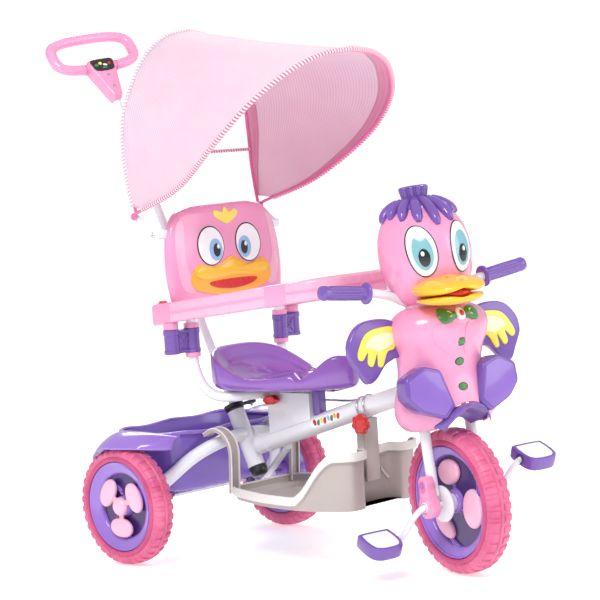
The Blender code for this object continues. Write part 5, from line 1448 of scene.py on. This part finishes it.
piece("tray_knob_mesh",
      domed(lobes, ((0, 0), (0.70, 0), (0.90, 0.0010), (1, 0.0032), (1, 0.0098),
                    (0.95, 0.0122), (0.82, 0.0134), (0.50, 0.0136), (0.46, 0.0124),
                    (0, 0.0122))), "tray_knob", "red", TRAY_KNOB, "tray_knob")

# ---------------------------------------------------------------- rear basket
BIN = ((0.1210, 0.046, -0.066, 0.118), (0.1235, 0.049, -0.071, 0.124),
       (0.1300, 0.0522, -0.0766, 0.1306), (0.1500, 0.0590, -0.0810, 0.1380),
       (0.1800, 0.0680, -0.0880, 0.1480), (0.2100, 0.0735, -0.0912, 0.1535),
       (0.2330, 0.0780, -0.0940, 0.1580))


def bin_row(z, front, rear, half, inset=0.0):
    return [(p.x, p.y, z) for p in ellipse((front - rear) / 2 - inset, half - inset,
                                           ((front + rear) / 2, 0, 0), 112, 0.45)]


def bin_edge(y):
    """Wave of the bin's upper edge across its width."""
    return 0.0022 * math.cos(abs(y) / 0.158 * 2.4 * math.pi)


def with_wave(row, share):
    return [(x, y, z + bin_edge(y) * share) for x, y, z in row]


bin_rows = [bin_row(*BIN[0], inset=0.004)] + [bin_row(*row) for row in BIN[:-1]]
bin_rows.append(with_wave(bin_row(*BIN[-1]), 0.3))
bin_rows += [with_wave(bin_row(0.2338, 0.0780, -0.0940, 0.1580, inset), 0.3)
             for inset in (0.0005, 0.0026)]
bin_rows.append(with_wave(bin_row(0.2330, 0.0780, -0.0940, 0.1580, 0.0031), 0.3))
bin_rows += [bin_row(z + 0.0016, f, r, h, 0.0031) for z, f, r, h in reversed(BIN[1:-1])]
bin_rows.append(bin_row(0.1243, 0.044, -0.064, 0.116, 0.003))
piece("basket_bin", rows_mesh(bin_rows, wrap=True, caps=True), "frame", "basket", ROOT,
      "basket", angle=50)
lip_path = with_wave(bin_row(0.2345, 0.0800, -0.0956, 0.1590), 1.0)
piece("basket_lip", sweep(lip_path, [(0.0044 * math.cos(t), 0.0034 * math.sin(t))
                                     for t in (TAU * k / 16 for k in range(16))],
                          closed=True), "frame", "lilac")


def fender_mesh(sign):
    """One wheel cover: rolls out of the bin's edge, over the wheel, and turns down."""
    rows = []
    for k in range(41):
        x = 0.0845 - 0.1835 * k / 40
        power = 2.6 if x < -0.006 else 1.75
        bow = max(0.0, 1 - abs((x + 0.006) / 0.0935) ** power) ** (1 / power)
        outer = 0.150 + 0.0915 * bow
        fall = 0.046 * max(0.0, (-0.016 - x) / 0.083) ** 1.6
        fall += 0.006 * max(0.0, min(1.0, (x - 0.020) / 0.060)) ** 2
        crest = 0.0100 * bow
        top, low = [], []
        for j in range(17):
            s = j / 16
            y = 0.1435 + (outer - 0.1435) * s
            roll = 0.009 * s ** 3 + 0.006 * max(0.0, (s - 0.82) / 0.18) ** 2
            z = 0.2350 - fall * (0.30 + 0.70 * s) - roll + crest * math.sin(math.pi * s) ** 2
            top.append((x, sign * y, z + 0.0012))
            low.append((x, sign * (y - 0.0016 * s), z - 0.0022))
        rows.append(top + low[::-1])
    return rows_mesh(rows, wrap=True, caps=True)


for side, sign in SIDES:
    piece("basket_fender_" + side, fender_mesh(sign), "frame", "lilac", ROOT, angle=50)
    clip = [box_mesh((0.030, 0.020, 0.0130), (0.0, sign * 0.1100, 0.1160), 0.003),
            box_mesh((0.020, 0.0180, 0.0120), (0.0, sign * 0.1100, 0.1090), 0.003)]
    piece("basket_clip_" + side, merged(clip), "frame", "deep")

# ---------------------------------------------------------------- fork and handlebar
legs = rounded([(0, -0.049, 0.016), (0, -0.049, 0.150), (0, 0.049, 0.150), (0, 0.049, 0.016)],
               [0.022, 0.022], 10)
STEERER_TOP = 0.3455 - 0.0080 - 0.0008
fork_parts = [tube_mesh(legs, 0.0095, 28),
              upright([(0, 0.150), (0.0125, 0.150), (0.0125, STEERER_TOP), (0, STEERER_TOP)],
                      32),
              box_mesh((0.011, 0.004, 0.044), (0, 0.040, 0.172), 0.0010)]
piece("fork_tubes", merged(fork_parts), "steering", "white", STEER, "fork")
FORK_END = arc_corners([Vector(p) for p in (
    (-0.0130, 0.0530, 0), (-0.0130, 0.0170, 0), (-0.0205, 0.0070, 0), (-0.0205, -0.0090, 0),
    (-0.0090, -0.0205, 0), (0.0090, -0.0205, 0), (0.0205, -0.0090, 0), (0.0205, 0.0070, 0),
    (0.0130, 0.0170, 0), (0.0130, 0.0530, 0))], 0.42, 6)
for side, sign in SIDES:
    turn = spin(0 if sign > 0 else 180, "Z")
    place = STEER @ Matrix.Translation((0, sign * 0.0615, 0)) @ turn
    shell = domed([(p.x, p.y) for p in FORK_END],
                  ((0, -0.0095), (0.92, -0.0095), (1, -0.0080), (1, 0.0066), (0.97, 0.0084),
                   (0.88, 0.0094), (0, 0.0096)))
    boss = turned([(0, 0.0080), (0.0168, 0.0080), (0.0168, 0.0100), (0.0160, 0.0110),
                   (0.0120, 0.0114), (0.0112, 0.0102), (0.0088, 0.0102), (0.0082, 0.0112),
                   (0, 0.0114)], 48)
    piece("fork_end_mesh_" + side, merged([shell, boss]), "steering", "pink", place,
          "fork_end_" + side, angle=35)
    ring = turned([(0.0064, 0.0080), (0.0064, 0.0082), (0.0078, 0.0124), (0.0088, 0.0122),
                   (0.0096, 0.0105), (0.0096, 0.0080)], 40, closed=True)
    piece("fork_dust_ring_" + side, ring, "steering", "white", place)
    # a darker rose dish round the bolt: painted shade for the shadow in the bolt's pocket
    recess = domed(oval(0.0088, 0.0105, count=40),
                   ((0, 0.0094), (1, 0.0094), (1, 0.0104), (0.86, 0.0106), (0.80, 0.0100),
                    (0, 0.0100)))
    piece("fork_end_recess_painted_shade_" + side, moved(recess, Matrix.Translation((0, 0, 0.0350))),
          "steering", "rose", place)
    piece("fork_bolt_" + side, screw_head(0.0046), "steering", "lilac",
          place @ Matrix.Translation((0, 0.0099, 0.0370)) @ spin(35, "Y"))
cup = upright([(0.0130, 0.1575), (0.0185, 0.1575), (0.0195, 0.1590), (0.0195, 0.1632),
               (0.0188, 0.1643), (0.0130, 0.1643)], 40, closed=True)
piece("head_bearing_cup", cup, "steering", "steel", STEER)

BAR = ((0, 0, 0.3455), (-0.001, 0.026, 0.3465), (-0.002, 0.046, 0.3520),
       (-0.002, 0.068, 0.3630), (0, 0.092, 0.3710), (0, 0.120, 0.3765), (0, 0.206, 0.3875))
left_bar = smooth(BAR, 8)
whole_bar = [Vector((p.x, -p.y, p.z)) for p in reversed(left_bar)][:-1] + left_bar
piece("handlebar_tube", tube_mesh(whole_bar, 0.0080, 28), "steering", "white", STEER,
      "handlebar")
for side, sign in SIDES:
    start = Vector((0, sign * 0.1215, 0.3767))
    end = Vector((0, sign * 0.2125, 0.3883))
    length = (end - start).length
    place = STEER @ facing(start, end - start)
    rows = []
    profile = [(0.0088, 0.0, 0), (0.0170, 0.0, 0), (0.0186, 0.0010, 0), (0.0190, 0.0025, 0),
               (0.0185, 0.0045, 0), (0.0160, 0.0060, 0), (0.0122, 0.0072, 0),
               (0.0117, 0.0095, 0), (0.0114, 0.0120, 1), (0.0114, 0.030, 1),
               (0.0116, 0.050, 1), (0.0114, 0.068, 1), (0.0114, length - 0.0155, 1),
               (0.0117, length - 0.0130, 0), (0.0124, length - 0.0105, 0),
               (0.0127, length - 0.0060, 0), (0.0124, length - 0.0015, 0),
               (0.0112, length + 0.0012, 0), (0.0080, length + 0.0020, 0),
               (0.0, length + 0.0022, 0)]
    for r, y, ribbed in profile:
        row = []
        for i in range(144):
            t = TAU * i / 144
            swell = 0.0009 * ribbed * max(-0.35, math.cos(18 * t))
            row.append(((r + swell) * math.cos(t), y, (r + swell) * math.sin(t)))
        rows.append(row)
    piece("grip_sleeve_" + side, rows_mesh(rows, wrap=True), "steering", "purple", place,
          "grip_" + side, angle=50)

# ---------------------------------------------------------------- duck figure
BODY = ((0.1290, 0.004, 0.052, 0.066), (0.1335, 0.004, 0.060, 0.079),
        (0.1450, 0.004, 0.066, 0.091), (0.1650, 0.004, 0.067, 0.097),
        (0.1900, 0.003, 0.063, 0.092), (0.2150, 0.003, 0.060, 0.083),
        (0.2380, 0.005, 0.060, 0.079), (0.2620, 0.011, 0.064, 0.082),
        (0.2850, 0.017, 0.069, 0.090), (0.3050, 0.020, 0.070, 0.092),
        (0.3220, 0.018, 0.066, 0.086), (0.3340, 0.014, 0.056, 0.070),
        (0.3400, 0.010, 0.044, 0.052), (0.3420, 0.008, 0.034, 0.042))
HEAD_TABLE = ((0.3424, 0.008, 0.036, 0.040), (0.3480, 0.009, 0.050, 0.052),
              (0.3600, 0.010, 0.063, 0.063), (0.3800, 0.011, 0.075, 0.072),
              (0.4050, 0.012, 0.083, 0.078), (0.4320, 0.012, 0.085, 0.080),
              (0.4600, 0.010, 0.081, 0.077), (0.4850, 0.008, 0.070, 0.068),
              (0.5050, 0.005, 0.053, 0.053), (0.5180, 0.003, 0.034, 0.034),
              (0.5240, 0.002, 0.014, 0.014))


def level(table, z):
    """(middle x, half depth, half width) of a turned form at a height."""
    for low, high in zip(table, table[1:]):
        if z <= high[0]:
            t = max(0.0, (z - low[0]) / (high[0] - low[0]))
            return [a + (b - a) * t for a, b in zip(low[1:], high[1:])]
    return list(table[-1][1:])


def denser(table):
    return [tuple(p) for p in smooth(table, 5)]


BODY_FINE, HEAD_FINE = denser(BODY), denser(HEAD_TABLE)
# the head is set on its neck looking a little further to the right than the wheel
FACE = STEER @ Matrix.Translation((0.011, 0, 0)) @ spin(-11, "Z") @ Matrix.Translation(
    (-0.011, 0, 0))


def front_surface(table, swell=0.0):
    """Front of a turned form: u is Y, v is height along the steering axis."""
    def surface(u, v):
        x, a, b = level(table, v)
        a, b = a + swell, b + swell
        s = max(-0.98, min(0.98, u / b))
        c = math.sqrt(1 - s * s)
        before, after = level(table, v - 0.002), level(table, v + 0.002)
        slope = ((after[0] + after[1] * c) - (before[0] + before[1] * c)) / 0.004
        normal = Vector((c / a, s / b, 0)).normalized()
        normal = (normal - Vector((0, 0, slope * c))).normalized()
        return Vector((x + a * c, u, v)), normal
    return surface


BODY_COLUMNS = 96
OPEN_COLUMNS = 16            # columns left out on each side of the back
OPEN_TOP = 0.253             # height up to which the back is open for the head tube
# the mudguard: where it starts, how far it runs forward, how far its sides sweep back
VISOR_START, VISOR_RUN, VISOR_SWEEP = 0.0142, 0.0780, 0.030
VISOR_GAP = 0.0040           # from its middle surface up to the body's lower edge
VISOR_HALF_THICK = 0.0022


def visor_crest(s):
    """Height of its middle line at a share s of its run."""
    return 0.150 + 0.017 * math.sin(s * math.pi / 2)


def visor_half(s):
    """Half its width."""
    return 0.040 + 0.021 * min(1.0, 1.5 * s) - 0.012 * s ** 6


def visor_drop(s):
    """How far its sides hang below its middle line."""
    return 0.020 + 0.014 * s


def visor_height(x, y):
    """Middle surface of the mudguard above (x, y), found by repeated correction."""
    s = 0.5
    for _ in range(8):
        t = min(1.0, abs(y) / visor_half(s))
        s = min(1.0, max(0.0, (x - VISOR_START) / (VISOR_RUN - VISOR_SWEEP * t * t)))
    spread = min(2.2, (y / visor_half(s)) ** 2)
    return visor_crest(s) - visor_drop(s) * spread - 0.004 * s ** 6


def body_foot(x, y):
    """Lowest height of the body shell: it rides over the mudguard in front."""
    share = min(1.0, max(0.0, x / 0.020))
    return max(0.1290, 0.1290 + (visor_height(x, y) + VISOR_GAP - 0.1290) * share)


work = bmesh.new()
grid = []
low_z, high_z = BODY_FINE[0][0], BODY_FINE[-1][0]
REACH_X, REACH_Y = 0.066, 0.092   # half sizes of the body near its lower rim
for z, *_ in BODY_FINE:
    row = []
    for i in range(BODY_COLUMNS):
        t = TAU * i / BODY_COLUMNS
        foot = body_foot(0.004 + REACH_X * math.cos(t), REACH_Y * math.sin(t))
        lifted = foot + (z - low_z) * (high_z - foot) / (high_z - low_z)
        mid, depth, width = level(BODY_FINE, lifted)
        row.append(work.verts.new((mid + depth * math.cos(t), width * math.sin(t), lifted)))
    grid.append(row)
for r in range(len(grid) - 1):
    for i in range(BODY_COLUMNS):
        j = (i + 1) % BODY_COLUMNS
        back = abs(i + 0.5 - BODY_COLUMNS / 2) < OPEN_COLUMNS
        if back and grid[r][i].co.z < OPEN_TOP:
            continue
        work.faces.new((grid[r][i], grid[r][j], grid[r + 1][j], grid[r + 1][i]))
loose = [v for v in work.verts if not v.link_faces]
bmesh.ops.delete(work, geom=loose, context="VERTS")
bmesh.ops.recalc_face_normals(work, faces=work.faces)
body_shell = bpy.data.meshes.new("body")
work.to_mesh(body_shell)
work.free()
outward = sum(p.normal.dot((p.center - Vector((0.005, 0, p.center.z))).normalized())
              for p in body_shell.polygons)
if outward < 0:
    body_shell.flip_normals()
piece("duck_body_shell", body_shell, "steering", "pink", STEER, "duck_body", angle=60,
      thick=-0.0030)
head_rows = [[(p.x, p.y, z) for p in ellipse(a, b, (x, 0, 0), 96)]
             for z, x, a, b in HEAD_FINE]
piece("duck_head_shell", rows_mesh(head_rows, wrap=True, caps=True), "steering", "pink",
      FACE, "duck_head", angle=60)
neck = [[(p.x, p.y, z) for p in ellipse(a, b, (0.009, 0, 0), 72)]
        for z, a, b in ((0.3385, 0.041, 0.047), (0.3425, 0.0415, 0.0480),
                        (0.3465, 0.0425, 0.0470), (0.3500, 0.0400, 0.0440))]
piece("duck_collar", rows_mesh(neck, wrap=True, caps=True), "steering", "pale", STEER)

body_front, head_front = front_surface(BODY_FINE), front_surface(HEAD_FINE)
for side, sign in SIDES:
    lapel = closed_outline([(sign * y, z) for y, z in (
        (0.010, 0.300), (0.034, 0.307), (0.052, 0.300), (0.050, 0.280), (0.032, 0.262),
        (0.012, 0.250), (0.006, 0.272))])
    piece("duck_lapel_" + side, blob_on(body_front, lapel, 0.0010, 8, crown=0.0014),
          "steering", "pink", STEER)
    for name, a, b, lift, colour, du, dv in (
            ("rim", 0.0232, 0.0448, 0.0010, "eye_black", 0, 0),
            ("white", 0.0212, 0.0425, 0.0018, "eye_white", 0, 0),
            ("teal", 0.0150, 0.0300, 0.0026, "eye_teal", 0.0, -0.0030),
            ("pupil", 0.0085, 0.0150, 0.0032, "eye_black", -0.0010, -0.0120),
            ("glint", 0.0026, 0.0040, 0.0037, "eye_white", 0.0012, -0.0050)):
        shape = oval(a, b, sign * (0.0355 + du), 0.4330 + dv, -sign * 5)
        piece(f"duck_eye_{name}_{side}", blob_on(head_front, shape, lift, 12, 0.0010),
              "steering", colour, FACE)
    bow = closed_outline([(sign * y, z) for y, z in (
        (0.006, 0.3195), (0.020, 0.3285), (0.034, 0.3305), (0.040, 0.3190),
        (0.034, 0.3060), (0.020, 0.3080), (0.006, 0.3150))])
    piece("bow_tie_wing_" + side, blob_on(body_front, bow, 0.0030, 8, 0.0010, 0.0040),
          "steering", "green", STEER)
    spot = oval(0.0040, 0.0046, sign * 0.0215, 0.3185)
    piece("bow_tie_dot_" + side, blob_on(body_front, spot, 0.0066, 4, 0.0010), "steering",
          "lemon", STEER)
piece("bow_tie_knot", blob_on(body_front, oval(0.0085, 0.0095, 0, 0.3175), 0.0050, 6, 0.0010,
                              0.0035), "steering", "eye_white", STEER)
piece("bow_tie_knot_dot", blob_on(body_front, oval(0.0040, 0.0042, 0, 0.3170), 0.0085, 5,
                                  0.0030, 0.0008), "steering", "red", STEER)
for k, (z, size) in enumerate(((0.2720, 1.0), (0.2390, 1.0), (0.1960, 1.05))):
    piece(f"duck_button_rim_{k}",
          blob_on(body_front, oval(0.0090 * size, 0.0068 * size, 0, z), 0.0010, 6),
          "steering", "eye_black", STEER)
    piece(f"duck_button_{k}",
          blob_on(body_front, oval(0.0076 * size, 0.0056 * size, 0, z), 0.0016, 6, 0.0010,
                  0.0016), "steering", "green", STEER)

# bill: an upper and a lower half whose lips part in the middle of the front
LIP_Z = 0.3535
UPPER_BILL = ((0.048, 0.0480, 0.3830), (0.066, 0.0570, 0.3865), (0.086, 0.0595, 0.3868),
              (0.106, 0.0580, 0.3835), (0.124, 0.0520, 0.3785), (0.139, 0.0410, 0.3730),
              (0.150, 0.0270, 0.3680), (0.1555, 0.0110, 0.3625))
LOWER_BILL = ((0.048, 0.0420, 0.3450), (0.066, 0.0530, 0.3420), (0.086, 0.0565, 0.3390),
              (0.106, 0.0550, 0.3365), (0.122, 0.0470, 0.3355), (0.135, 0.0350, 0.3360),
              (0.144, 0.0210, 0.3380), (0.1485, 0.0090, 0.3420))
MOUTH_HALF, MOUTH_RISE, MOUTH_START = 0.019, 0.0075, 0.095


def bill_mesh(table, upper):
    """Half of the bill: thick lips, a crowned outside and an arched mouth edge."""
    rows = []
    for x, half, outer in (tuple(p) for p in smooth(table, 5)):
        ring = []
        opening = min(1.0, max(0.0, (x - MOUTH_START) / 0.035))
        for i in range(56):
            c, s = math.cos(TAU * i / 56), math.sin(TAU * i / 56)
            y = half * math.copysign(abs(c) ** 0.85, c)
            arch = MOUTH_RISE * opening * math.exp(-(y / MOUTH_HALF) ** 2)
            edge = abs(y) / 0.0625
            middle, reach = (LIP_Z + outer) / 2, (outer - LIP_Z) / 2
            z = middle + reach * math.copysign(abs(s) ** 0.8, s)
            away = (z - outer) / (LIP_Z - outer)
            way = 1 if upper else -1
            z += way * (arch * away - (0.0055 if upper else 0.0030) * edge ** 2.2)
            if upper:
                z += 0.0020 * math.exp(-(y / 0.012) ** 2) * max(0.0, s)
                z += 0.0035 * edge ** 4
            ring.append((x, y, z))
        rows.append(ring)
    return rows_mesh(rows, wrap=True, caps=True)


piece("duck_bill_upper", bill_mesh(UPPER_BILL, True), "steering", "yellow", FACE,
      "duck_bill", angle=60)
piece("duck_bill_lower", bill_mesh(LOWER_BILL, False), "steering", "yellow", FACE, angle=60)
tongue = [[(x, p.x, p.y) for p in ellipse(half, rise, (0, LIP_Z, 0), 32)]
          for x, half, rise in ((0.085, 0.020, 0.004), (0.110, 0.023, 0.0075),
                                (0.128, 0.022, 0.0080), (0.138, 0.018, 0.0060),
                                (0.142, 0.010, 0.0030))]
piece("duck_mouth", rows_mesh(tongue, wrap=True, caps=True), "steering", "red", FACE,
      angle=60)
for side, sign in SIDES:
    nostril = moved(upright([(0, 0), (0.0030, 0), (0.0028, 0.0006), (0, 0.0006)], 20),
                    Matrix.Translation((0.112, sign * 0.010, 0.3835)) @ spin(13, "Y"))
    piece("bill_nostril_" + side, nostril, "steering", "orange", FACE)


# feather tuft: a ridged cap with a ribbed bun
def ridged(levels, ridges, depth, centre=0.004, count=160):
    rows = []
    for z, radius, strength in levels:
        row = []
        for i in range(count):
            t = TAU * i / count
            wave = 1 - depth * strength * (0.5 - 0.5 * math.cos(ridges * t)) ** 1.6
            row.append((centre + radius * wave * math.cos(t), radius * wave * math.sin(t), z))
        rows.append(row)
    return rows_mesh(rows, wrap=True, caps=True)


def feather_ridge(angle, foot_z, top_z, radius):
    """A thick rounded ridge lying on the head from its foot up to the crown."""
    knots = []
    for k in range(6):
        z = foot_z + (top_z - foot_z) * k / 5
        x, a, b = level(HEAD_FINE, min(z, 0.5235))
        knots.append((x + (a + 0.0025) * math.cos(angle), (b + 0.0025) * math.sin(angle),
                      z + 0.0015 * k / 5))
    thick = (0.45, 0.86, 1.0, 1.0, 0.95, 0.80)

    def ring(t):
        place = t * 5
        low = min(4, int(place))
        size = radius * (thick[low] + (thick[low + 1] - thick[low]) * (place - low))
        return circle(size, 18)
    return sweep(smooth(knots, 5), ring, up=(math.cos(angle), math.sin(angle), 0))


RIDGES = 15
cap = [ridged(((0.5060, 0.0520, 0.3), (0.5120, 0.0520, 0.6), (0.5180, 0.0430, 0.8),
               (0.5220, 0.0330, 0.8), (0.5240, 0.0200, 0.3)), 11, 0.10)]
for k in range(RIDGES):
    angle = TAU * k / RIDGES
    near_front = max(0.0, math.cos(angle))
    foot = 0.4960 - 0.0210 * near_front ** 6 - 0.0040 * (k % 2)
    cap.append(feather_ridge(angle, foot, 0.5200, 0.0096))
bun = ridged(((0.5195, 0.0215, 0.3), (0.5240, 0.0225, 0.8), (0.5300, 0.0232, 1.0),
              (0.5360, 0.0245, 1.0), (0.5410, 0.0258, 1.0), (0.5445, 0.0262, 1.0),
              (0.5470, 0.0250, 0.8), (0.5484, 0.0220, 0.4), (0.5488, 0.0150, 0.1)), 11, 0.22)
piece("duck_tuft_cap", merged(cap + [bun]), "steering", "purple", FACE, "duck_tuft",
      angle=60)

WING = ((-0.004, 0.030), (0.030, 0.044), (0.070, 0.039), (0.094, 0.014), (0.098, -0.012),
        (0.091, -0.028), (0.083, -0.042), (0.074, -0.058), (0.065, -0.063), (0.050, -0.056),
        (0.030, -0.036), (0.012, -0.028), (-0.004, -0.020))
FEATHERS = ((0.004, 0.025), (0.034, 0.029), (0.062, 0.022), (0.079, 0.000),
            (0.084, -0.016), (0.076, -0.022), (0.063, -0.010), (0.066, -0.028),
            (0.057, -0.034), (0.045, -0.014), (0.046, -0.034), (0.037, -0.036),
            (0.024, -0.014), (0.008, -0.008))
DOWN = ((0.006, 0.015), (0.034, 0.019), (0.056, 0.012), (0.066, -0.001), (0.052, -0.005),
        (0.044, -0.010), (0.034, -0.009), (0.022, -0.006), (0.010, 0.000))
# turns an outline's (u, v) into (y, z), with its thickness along x
FACING_FRONT = Matrix(((0, 0, 1, 0), (1, 0, 0, 0), (0, 1, 0, 0), (0, 0, 0, 1)))
for side, sign in SIDES:
    place = STEER @ Matrix.Translation((-0.006, sign * 0.082, 0.287)) @ FACING_FRONT
    outline = closed_outline([(u * sign, v) for u, v in WING], 6)
    wing = slab_mesh(outline, 0.0, 0.0150, 0.0032, 5)
    piece("wing_mesh_" + side, wing, "steering", "purple", place, "wing_" + side, angle=50)
    for part, knots, low, high, colour in (("feather", FEATHERS, 0.0120, 0.0178, "lemon"),
                                           ("down", DOWN, 0.0150, 0.0188, "butter")):
        shape = slab_mesh(closed_outline([(u * sign, v) for u, v in knots], 6), low, high,
                          0.0012, 4)
        piece(f"wing_{part}_{side}", shape, "steering", colour, place, angle=50)

FOOT = ((-0.050, -0.028), (-0.028, -0.048), (0.020, -0.028), (0.043, -0.004),
        (0.041, 0.030), (0.004, 0.048), (-0.030, 0.038), (-0.040, 0.004))
for side, sign in SIDES:
    place = (STEER @ Matrix.Translation((0.043, sign * 0.073, 0.193)) @ spin(sign * 4, "Z")
             @ FACING_FRONT)
    for name, share, low, high, bevel, colour in (
            ("foot_sole", 1.0, -0.010, 0.0270, 0.0050, "purple"),
            ("foot_face", 0.86, 0.0240, 0.0284, 0.0014, "sole")):
        knots = [Vector((u * sign * share, v * share, 0)) for u, v in FOOT]
        shape = [(p.x, p.y) for p in arc_corners(knots, 0.20, 5)]
        piece(f"{name}_{side}", slab_mesh(shape, low, high, bevel, 5), "steering", colour,
              place, "foot_" + side if name == "foot_sole" else None, angle=50)

# mudguard: a thick visor over the front wheel
rows = []
for k in range(25):
    s = k / 24
    top, low = [], []
    for i in range(-16, 17):
        t = i / 16
        x = VISOR_START + VISOR_RUN * s - VISOR_SWEEP * s * t * t
        z = visor_crest(s) - visor_drop(s) * t * t - 0.004 * s ** 6
        edge = 0.0024 * max(0.0, (abs(t) - 0.85) / 0.15)
        y = visor_half(s) * t
        top.append((x, y, z + VISOR_HALF_THICK + edge))
        low.append((x - 0.0010, y * 0.985, z - VISOR_HALF_THICK))
    rows.append(top + low[::-1])
piece("mudguard_visor", rows_mesh(rows, wrap=True, caps=True), "steering", "purple", STEER,
      "mudguard", angle=50)

# ---------------------------------------------------------------- floor, light, camera
FLOOR_RADIUS, FLOOR_Z = 30.0, -0.0005    # the dome is wide enough for any view


def stage_piece(name, rows, base, glow):
    """A plain surface of the studio, turned about Z, with its own even glow."""
    mesh = upright(rows, 64)
    mesh.shade_smooth()
    obj = bpy.data.objects.new(name, mesh)
    bpy.context.scene.collection.objects.link(obj)
    finish, _, shader = new_shader(name + "_paper", 0.42)
    shader.inputs["Base Color"].default_value = (base, base, base, 1)
    shader.inputs["Emission Color"].default_value = (1, 1, 1, 1)
    shader.inputs["Emission Strength"].default_value = glow
    mesh.materials.append(finish)
    return obj


stage_piece("floor", [(0, FLOOR_Z), (FLOOR_RADIUS, FLOOR_Z)], 0.94, 0.45)
dome = stage_piece("dome", [(FLOOR_RADIUS * math.cos(math.radians(6 * k)),
                             FLOOR_Z + FLOOR_RADIUS * math.sin(math.radians(6 * k)))
                            for k in range(16)], 0.0, 1.05)
# the dome is only a white background: light and shadow pass through it
dome.visible_diffuse = dome.visible_glossy = False
dome.visible_transmission = dome.visible_shadow = False

world = bpy.data.worlds.new("studio")
world.use_nodes = True
backdrop = world.node_tree.nodes["Background"]
backdrop.inputs["Color"].default_value = (1, 1, 1, 1)
backdrop.inputs["Strength"].default_value = 0.62
bpy.context.scene.world = world


def soft_light(name, place, aim, size, power):
    lamp = bpy.data.lights.new(name, "AREA")
    lamp.shape = "DISK"
    lamp.size = size
    lamp.energy = power
    holder = bpy.data.objects.new(name, lamp)
    holder.location = place
    holder.rotation_euler = (Vector(place) - Vector(aim)).to_track_quat("Z", "Y").to_euler()
    bpy.context.scene.collection.objects.link(holder)


soft_light("key_light", (1.4, -2.4, 3.0), (0, 0, 0.4), 1.5, 88)
soft_light("fill_light", (3.2, 1.4, 1.6), (0, 0, 0.4), 2.2, 30)
soft_light("rim_light", (-2.4, 1.8, 2.6), (0, 0, 0.5), 1.6, 40)

lens = bpy.data.cameras.new("camera")
lens.lens = 130.6
lens.sensor_width = 36.0
camera = bpy.data.objects.new("camera", lens)
# the photograph's viewpoint, solved from the wheels, the fork and the handlebar
RIGHT = Vector((0.723975, 0.686796, -0.064592))
UP = Vector((-0.005832, 0.099726, 0.994998))
BACK = Vector((0.689802, -0.719977, 0.076205))
turn = Matrix((RIGHT, UP, BACK)).transposed()
VIEWPOINT = (3.01502 - MIDDLE, -2.85892, 0.77532)
camera.matrix_world = Matrix.Translation(VIEWPOINT) @ turn.to_4x4()
bpy.context.scene.collection.objects.link(camera)
bpy.context.scene.camera = camera
bpy.context.scene.view_settings.view_transform = "Standard"

bpy.context.view_layer.update()
